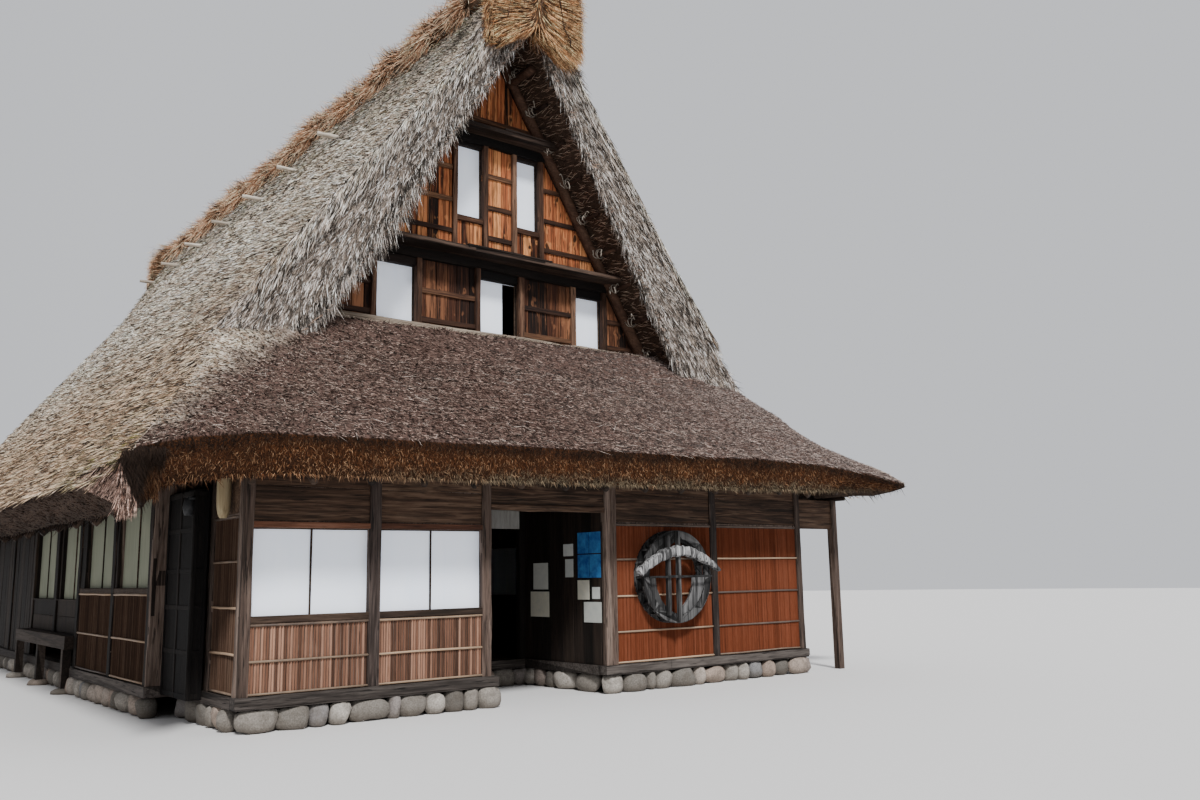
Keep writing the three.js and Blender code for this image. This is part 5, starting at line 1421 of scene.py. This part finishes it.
def build_left_side():
    """Shutter case panels, veranda boards, rear wall planks, a hanging gourd and a small lamp."""
    rng = np.random.default_rng(83)
    case, dark = Heap(), Heap()
    face = Side((-0.180, 0), (0, 1), (1, 0))
    foot, top = 0.265, 2.475
    rails = (0.30, 0.75, 1.22, 1.61, 2.05, 2.44)
    for u in (1.01, 1.44, 1.875):
        board(case, (u, -0.012, foot), (u + 0.045, 0.01, top), rng, 0.0015, 0.004, 5, face)
    for z in rails:
        board(case, (1.01, -0.009, z - 0.025), (1.92, 0.01, z + 0.025), rng, 0.0015, 0.004, 5, face)
    for z in rails:
        board(case, (-0.185, 1.000, z - 0.025), (-0.030, 1.012, z + 0.025), rng, 0.001, 0.003, 2)
    for x in (-0.185, -0.07):
        board(case, (x, 0.998, foot), (x + 0.04, 1.012, top), rng, 0.0015, 0.003, 5)
    veranda = SIDES["veranda"]
    for a, b in ((5.60, 5.72), (7.30, 7.42), (9.11, 9.23)):
        board(dark, (a - 0.002, -0.008, 0.782), (b + 0.002, 0.05, 3.11), rng, 0.003, 0.008, 8, veranda)
    for a, b in ((5.72, 7.30), (7.42, 9.11)):
        for z in (0.785, 1.02):
            board(dark, (a, 0.016, z), (b, 0.05, z + 0.23), rng, 0.002, 0.005, 5, veranda)
        board(dark, (a, 0.000, 1.245), (b, 0.06, 1.268), rng, 0.002, 0.005, 5, veranda)
    u = 9.235
    while u < 18.10:
        wide = min(rng.uniform(0.17, 0.26), 18.115 - u)
        out = 0.014 + rng.uniform(-0.003, 0.003)
        board(dark, (u + 0.002, out, PANEL_FOOT), (u + wide - 0.002, 0.04, 3.07), rng, 0.002, 0.005, 5,
              veranda)
        u += wide
    for y in (9.23 + KEN * k for k in range(1, 5)):
        board(dark, (y - 0.002, -0.008, PANEL_FOOT), (y + 0.112, 0.05, 3.07), rng, 0.003, 0.008, 8, veranda)
    piece("shutter_case_frame", case, FINISHES["case"])
    piece("left_dark_boards", dark, FINISHES["dark_wall"])
    gourd = Heap()
    z = np.linspace(2.14, 2.76, 15)
    swell = np.sqrt(np.clip(1 - ((z - 2.45) / 0.32) ** 4, 0, 1))
    pole(gourd, xyz(-0.075, 0.42, z), 0.015 + 0.058 * swell, 12)
    piece("hanging_gourd", gourd, FINISHES["pale_wood"], smooth=True)
    lamp = Heap()
    z = np.linspace(2.20, 2.38, 9)
    pole(lamp, xyz(-0.235, 1.06, z), 0.03 + 0.03 * np.sin(np.linspace(0.3, 2.8, 9)), 12)
    board(lamp, (-0.25, 1.005, 2.37), (-0.18, 1.09, 2.40), rng, 0.001, 0.004)
    piece("case_lamp", lamp, FINISHES["enamel"], smooth=True)


# Base

# Rows of stones: from, to and half their width across.
STONE_RUNS = [
    ((-0.02, 0.055), (2.98, 0.055), 0.12),
    ((4.66, 0.055), (8.47, 0.055), 0.12),
    ((4.725, 0.25), (4.725, 1.80), 0.10),
    ((2.86, 0.25), (2.86, 1.80), 0.10),
    ((2.86, 1.875), (4.72, 1.875), 0.11),
    ((0.055, 0.25), (0.055, 1.92), 0.12),
    ((-0.275, 1.98), (-0.275, 5.60), 0.12),
    ((-0.20, 5.70), (-0.20, 18.05), 0.12),
    ((-0.25, 18.15), (8.47, 18.15), 0.12),
    ((8.41, 0.30), (8.41, 18.00), 0.12),
]


def stone(heap, rng, centre, size, heading):
    """One river stone: a lumpy rounded body with a flat seat above and below."""
    rows, around = 8, 12
    polar = np.linspace(0.0, np.pi, rows)
    turn = np.arange(around) * 2 * np.pi / around
    ring = np.sin(polar)[:, None] ** 0.62
    x = ring * np.cos(turn)[None]
    y = ring * np.sin(turn)[None]
    z = np.sign(np.cos(polar))[:, None] * np.abs(np.cos(polar))[:, None] ** 0.75 * np.ones((1, around))
    body = np.stack([x, y, z], -1)
    flat = body.reshape(-1, 3)
    bumps = wave(flat, 1.9, int(rng.integers(1e6))) + 0.35 * wave(flat, 0.8, int(rng.integers(1e6)))
    body = body * (1 + 0.13 * bumps.reshape(rows, around, 1)) * (np.array(size) / 2)
    cos, sin = math.cos(heading), math.sin(heading)
    body = body @ np.array([[cos, sin, 0], [-sin, cos, 0], [0, 0, 1]]) + centre
    body[:, :, 2] = np.clip(body[:, :, 2], 0.0, 0.232)
    tube(heap, body[1:-1][::-1])


def build_base():
    """River stones in rows under the sills, and worn front sill beams."""
    rng = np.random.default_rng(89)
    stones = Heap()
    for first, last, half in STONE_RUNS:
        a, b = np.array(first), np.array(last)
        length = np.linalg.norm(b - a)
        ahead = (b - a) / length
        across = np.array([-ahead[1], ahead[0]])
        s = 0.0
        while s < length:
            wide = rng.choice([0.17, 0.22, 0.27, 0.34, 0.42]) * rng.uniform(0.9, 1.1)
            spot = a + ahead * min(s + wide / 2, length - 0.02) + across * rng.normal(0, 0.012)
            tall = rng.uniform(0.235, 0.26)
            size = (wide * 1.02, half * 2 * rng.uniform(0.9, 1.1), tall)
            heading = math.atan2(ahead[1], ahead[0]) + rng.normal(0, 0.12)
            stone(stones, rng, np.array([*spot, tall / 2 - 0.01]), size, heading)
            s += wide * 0.96
    for y in (5.735, 7.465, 9.175):
        stone(stones, rng, np.array([-0.39, y, 0.02]), (0.34, 0.32, 0.12), rng.uniform(0, 3))
    piece("river_stones", stones, FINISHES["stone"], smooth=True,
          replaces=["left_stones", "front_stones", "right_stones"])
    worn = Heap()
    board(worn, (-0.036, -0.036, 0.240), (3.03, 0.10, 0.352), rng, 0.004, 0.012, 12)
    board(worn, (4.632, -0.036, 0.240), (8.50, 0.10, 0.352), rng, 0.004, 0.012, 14)
    piece("front_sill_beams", worn, FINISHES["sill"])


# Wheel

def build_wheel():
    """The cracked felloe, the inner boards and the worn edges of the old wheel."""
    rng = np.random.default_rng(97)
    centre = np.array([5.770, 0.0, 1.445])
    log = Heap()
    steps, around = 26, 12
    t = np.linspace(0, 1, steps)
    line_x = -0.735 + 1.43 * t
    line_z = 0.050 + 0.275 * np.sin(np.pi * t) ** 0.9 + 0.02 * t
    thick = 0.048 - 0.032 * t + (0.038 + 0.022 * t) * np.sin(np.pi * t) ** 0.55
    normal = unit(xyz(-np.gradient(line_z, line_x), 0, 1))
    angles = np.arange(around) * 2 * np.pi / around
    c = np.sign(np.cos(angles)) * np.abs(np.cos(angles)) ** 0.6
    s = np.sign(np.sin(angles)) * np.abs(np.sin(angles)) ** 0.6
    rings = np.zeros((steps, around, 3))
    for i in range(steps):
        notch = 1.0 - (0.22 if i % 4 == 2 else 0.0) - 0.08 * rng.random()
        across = normal[i] * (thick[i] * notch) * c[:, None]
        offset = across + np.array([0, 1, 0]) * (0.060 * notch) * s[:, None]
        middle = centre + np.array([line_x[i], -0.232, line_z[i]])
        rings[i] = middle + offset + rng.normal(0, 0.003, (around, 3))
    tube(log, rings)
    piece("wheel_log", log, FINISHES["wheel_log"], replaces=["wheel_felloe"])
    boards, pale = Heap(), Heap()
    for outer, inner in (
        ([(-0.50, -0.02), (-0.46, -0.22), (-0.34, -0.40), (-0.16, -0.54), (0.03, -0.60)],
         [(-0.38, -0.01), (-0.36, -0.16), (-0.29, -0.30), (-0.17, -0.42), (0.00, -0.50)]),
        ([(0.51, -0.01), (0.46, -0.23), (0.38, -0.38), (0.28, -0.48), (0.06, -0.60)],
         [(0.30, -0.01), (0.285, -0.11), (0.25, -0.21), (0.19, -0.31), (0.06, -0.44)]),
        ([(-0.42, 0.22), (-0.30, 0.38), (-0.18, 0.50), (-0.06, 0.57), (0.03, 0.60)],
         [(-0.32, 0.20), (-0.22, 0.31), (-0.12, 0.40), (-0.03, 0.45), (0.05, 0.46)]),
        ([(0.05, 0.60), (0.16, 0.57), (0.26, 0.52), (0.34, 0.44), (0.44, 0.32)],
         [(0.05, 0.46), (0.14, 0.44), (0.22, 0.40), (0.30, 0.33), (0.38, 0.25)]),
    ):
        rings = np.array([[(x0, -0.150, z0), (x1, -0.150, z1), (x1, -0.118, z1), (x0, -0.118, z0)]
                          for (x0, z0), (x1, z1) in zip(outer, inner)])
        ahead, inward = np.subtract(outer[1], outer[0]), np.subtract(inner[0], outer[0])
        turned = bool(ahead[0] * inward[1] - ahead[1] * inward[0] > 0)
        heap = pale if outer[0][0] > 0.4 else boards
        tube(heap, rings + centre + rng.normal(0, 0.002, rings.shape), turned)
    piece("wheel_boards", boards, FINISHES["wheel"])
    piece("wheel_pale_board", pale, FINISHES["wheel_pale"])
    hub = Heap()
    for x, low, high in ((-0.205, -0.50, 0.53), (-0.020, -0.59, 0.60)):
        board(hub, centre + [x - 0.027, -0.236, low], centre + [x + 0.027, -0.172, high], rng, 0.003,
              0.008, 7)
    board(hub, centre + [-0.57, -0.262, -0.016], centre + [0.55, -0.235, 0.012], rng, 0.003, 0.006, 8)
    piece("wheel_bars", hub, FINISHES["wheel"], replaces=["wheel_spokes"])


# Stage

def build_stage(look):
    """A plain pale floor, soft light and the camera where the photograph was taken."""
    bpy.ops.mesh.primitive_circle_add(vertices=96, radius=60, fill_type="NGON", location=(0, 0, -0.002))
    floor = bpy.context.object
    floor.name = "stage_floor"
    floor.data.materials.append(FINISHES["stage"])
    sky = Finish("studio", "worlds")
    across = sky.node("SeparateXYZ", None, {0: sky.node("TexCoord", output="Generated")}, "X")
    strength = sky.node("MapRange", None, {"Value": across, "From Min": -0.9, "From Max": 0.2,
                                           "To Min": 0.6 * look.sky, "To Max": look.sky})
    light = sky.node("Background", None, {"Color": (0.93, 0.95, 1.0, 1), "Strength": strength})
    sky.node("OutputWorld", None, {"Surface": light})
    bpy.context.scene.world = sky.owner
    for name, power, angle, turn in (("sun", look.sun, 9, (44, 0, -24)),
                                     ("fill", look.fill, 60, (62, 0, 55))):
        lamp = bpy.data.lights.new(name, "SUN")
        lamp.energy = power
        lamp.angle = math.radians(angle)
        made = bpy.data.objects.new(name, lamp)
        made.rotation_euler = [math.radians(a) for a in turn]
        bpy.context.scene.collection.objects.link(made)
    yaw, pitch, roll = (math.radians(a) for a in (look.camera_yaw, look.camera_pitch, look.camera_roll))
    right = np.array([math.cos(yaw), -math.sin(yaw), 0])
    ahead = np.array([math.sin(yaw) * math.cos(pitch), math.cos(yaw) * math.cos(pitch), math.sin(pitch)])
    above = np.cross(right, ahead)
    across = right * math.cos(roll) + above * math.sin(roll)
    upward = above * math.cos(roll) - right * math.sin(roll)
    camera = bpy.data.cameras.new("view")
    camera.lens, camera.sensor_width, camera.clip_end = look.lens, 36.0, 300.0
    made = bpy.data.objects.new("view", camera)
    matrix = Matrix([[*row, 0] for row in np.stack([across, upward, -ahead], 1)] + [[0, 0, 0, 1]])
    matrix.translation = look.camera_place
    made.matrix_world = matrix
    bpy.context.scene.collection.objects.link(made)
    bpy.context.scene.camera = made


# Add-on

class FarmhouseStraw(bpy.types.PropertyGroup):
    """Sizes and colours of straw and reeds"""
    density: FloatProperty(name="Density", description="Share of the full number of straws", default=1.0,
                           min=0.05, max=1.0, subtype="FACTOR")
    straw_length: FloatProperty(name="Straw length", description="Longest visible straw on the main slopes",
                                default=0.22, min=0.1, max=0.8, unit="LENGTH")
    straw_colour: FloatVectorProperty(name="Main straw", description="Middle tone of the weathered straw",
                                      default=(0.720, 0.590, 0.480), size=3, min=0, max=1, subtype="COLOR")
    eave_colour: FloatVectorProperty(name="Cut edge", description="Middle tone of the cut straw at the eaves",
                                     default=(0.165, 0.062, 0.023), size=3, min=0, max=1, subtype="COLOR")
    reed_colour: FloatVectorProperty(name="Reeds", description="Middle tone of the reed panels",
                                     default=(0.21, 0.055, 0.022), size=3, min=0, max=1, subtype="COLOR")


class FarmhouseStage(bpy.types.PropertyGroup):
    """Light and camera"""
    sky: FloatProperty(name="Sky", description="Strength of the even light all round", default=0.80, min=0)
    sun: FloatProperty(name="Sun", description="Strength of the soft main light", default=4.2, min=0)
    fill: FloatProperty(name="Fill", description="Strength of the light from the right", default=0.5, min=0)
    lens: FloatProperty(name="Lens", description="Focal length on a 36 mm wide sensor", default=30.90, min=5,
                        unit="CAMERA")
    camera_yaw: FloatProperty(name="Yaw", description="Degrees that the camera looks right of +Y",
                              default=38.567)
    camera_pitch: FloatProperty(name="Pitch", description="Degrees that the camera looks up", default=9.5685)
    camera_roll: FloatProperty(name="Roll", description="Degrees that the camera leans", default=-1.0534)
    camera_place: FloatVectorProperty(name="Place", description="Where the camera stands",
                                      default=(-7.8457, -19.5428, 1.50), size=3, subtype="TRANSLATION",
                                      unit="LENGTH")


class FARMHOUSE_OT_finishes(bpy.types.Operator):
    """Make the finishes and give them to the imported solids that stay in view"""
    bl_idname = "farmhouse.finishes"
    bl_label = "Finishes"

    def execute(self, context):
        FINISHES.update(make_finishes(context.scene.farmhouse_straw))
        dress("post", "front_wall_right", "corner_wall", "front_wall_left", "bay_wall", "right_wall",
              "back_wall", "right_eave_posts")
        dress("paper", *[n for n in NODES if "shoji" in n])
        dress("front_paper", *[n for n in NODES if "shoji" in n and n.startswith("front")])
        dress("shaded_paper", "bay_shoji", "veranda_shoji")
        dress("boards", "entrance_lintel", "wing_board")
        dress("dark_wall", "porch_wall_left", "porch_wall_right", "porch_door_frame", "veranda_wall",
              "left_rear_wall", "front_gable_wall", "back_gable_wall")
        dress("case", "shutter_case")
        dress("side_timber", "veranda_edge")
        dress("ledge", *[n for n in NODES if n.endswith("_ledge")])
        dress("timber", *[n for n in NODES if n.startswith("rafter_frame")])
        dress("floor", "ground_floor", "lower_attic_floor", "upper_attic_floor")
        dress("sill", "front_sill_left", "front_sill_right", "back_sill")
        dress("sill_y", "left_sill", "right_sill")
        dress("wheel", "wheel_rim")
        return {"FINISHED"}


class FARMHOUSE_OT_main_thatch(bpy.types.Operator):
    """Lay the straw of the two main slopes"""
    bl_idname = "farmhouse.main_thatch"
    bl_label = "Main thatch"

    def execute(self, context):
        build_main_thatch(context.scene.farmhouse_straw)
        return {"FINISHED"}


class FARMHOUSE_OT_skirts(bpy.types.Operator):
    """Lay the straw of the skirt roofs under the gables"""
    bl_idname = "farmhouse.skirts"
    bl_label = "Skirt roofs"

    def execute(self, context):
        build_skirts(context.scene.farmhouse_straw.density)
        return {"FINISHED"}


class FARMHOUSE_OT_ridge(bpy.types.Operator):
    """Bind the ridge bundle and its end caps"""
    bl_idname = "farmhouse.ridge"
    bl_label = "Ridge"

    def execute(self, context):
        build_ridge(context.scene.farmhouse_straw.density)
        return {"FINISHED"}


class FARMHOUSE_OT_under_eaves(bpy.types.Operator):
    """Set the poles under the eaves"""
    bl_idname = "farmhouse.under_eaves"
    bl_label = "Eave poles"

    def execute(self, context):
        build_under_eaves()
        return {"FINISHED"}


class FARMHOUSE_OT_gables(bpy.types.Operator):
    """Board both gables and set their rafters, poles and ties"""
    bl_idname = "farmhouse.gables"
    bl_label = "Gables"

    def execute(self, context):
        for end, seed in (("front", 101), ("back", 103)):
            build_gable(end, seed)
            build_gable_frame(end, seed + 6)
        return {"FINISHED"}


class FARMHOUSE_OT_walls(bpy.types.Operator):
    """Fit reeds, battens, boards and posts on the walls"""
    bl_idname = "farmhouse.walls"
    bl_label = "Walls"

    def execute(self, context):
        build_walls()
        return {"FINISHED"}


class FARMHOUSE_OT_windows(bpy.types.Operator):
    """Fit the stiles of the paper windows"""
    bl_idname = "farmhouse.windows"
    bl_label = "Windows"

    def execute(self, context):
        build_windows()
        return {"FINISHED"}


class FARMHOUSE_OT_entrance(bpy.types.Operator):
    """Board the entrance recess"""
    bl_idname = "farmhouse.entrance"
    bl_label = "Entrance"

    def execute(self, context):
        build_entrance()
        return {"FINISHED"}


class FARMHOUSE_OT_left_side(bpy.types.Operator):
    """Dress the shutter case, the veranda and the rear wall"""
    bl_idname = "farmhouse.left_side"
    bl_label = "Left side"

    def execute(self, context):
        build_left_side()
        return {"FINISHED"}


class FARMHOUSE_OT_base(bpy.types.Operator):
    """Lay the river stones and wear the sills"""
    bl_idname = "farmhouse.base"
    bl_label = "Base"

    def execute(self, context):
        build_base()
        return {"FINISHED"}


class FARMHOUSE_OT_wheel(bpy.types.Operator):
    """Shape the old wheel on the front wall"""
    bl_idname = "farmhouse.wheel"
    bl_label = "Wheel"

    def execute(self, context):
        build_wheel()
        return {"FINISHED"}


class FARMHOUSE_OT_stage(bpy.types.Operator):
    """Set the floor, the light and the camera"""
    bl_idname = "farmhouse.stage"
    bl_label = "Stage"

    def execute(self, context):
        build_stage(context.scene.farmhouse_stage)
        return {"FINISHED"}


OPERATORS = (FARMHOUSE_OT_finishes, FARMHOUSE_OT_main_thatch, FARMHOUSE_OT_skirts, FARMHOUSE_OT_ridge,
             FARMHOUSE_OT_under_eaves, FARMHOUSE_OT_gables, FARMHOUSE_OT_walls, FARMHOUSE_OT_windows,
             FARMHOUSE_OT_entrance, FARMHOUSE_OT_left_side, FARMHOUSE_OT_base, FARMHOUSE_OT_wheel,
             FARMHOUSE_OT_stage)


class FARMHOUSE_PT_panel(bpy.types.Panel):
    """The farmhouse's sizes, colours and building steps"""
    bl_label = "Farmhouse"
    bl_idname = "FARMHOUSE_PT_panel"
    bl_space_type = "VIEW_3D"
    bl_region_type = "UI"
    bl_category = "Farmhouse"

    def draw(self, context):
        for group in (context.scene.farmhouse_straw, context.scene.farmhouse_stage):
            for name in group.__annotations__:
                self.layout.prop(group, name)
        for operator in OPERATORS:
            self.layout.operator(operator.bl_idname)


CLASSES = (FarmhouseStraw, FarmhouseStage, *OPERATORS, FARMHOUSE_PT_panel)


def register():
    for cls in CLASSES:
        bpy.utils.register_class(cls)
    bpy.types.Scene.farmhouse_straw = PointerProperty(type=FarmhouseStraw)
    bpy.types.Scene.farmhouse_stage = PointerProperty(type=FarmhouseStage)


def unregister():
    del bpy.types.Scene.farmhouse_stage
    del bpy.types.Scene.farmhouse_straw
    for cls in reversed(CLASSES):
        bpy.utils.unregister_class(cls)


def main():
    """Build the whole scene."""
    register()
    for operator in OPERATORS:
        getattr(bpy.ops.farmhouse, operator.bl_idname.split(".")[1])()


if __name__ == "__main__":
    main()
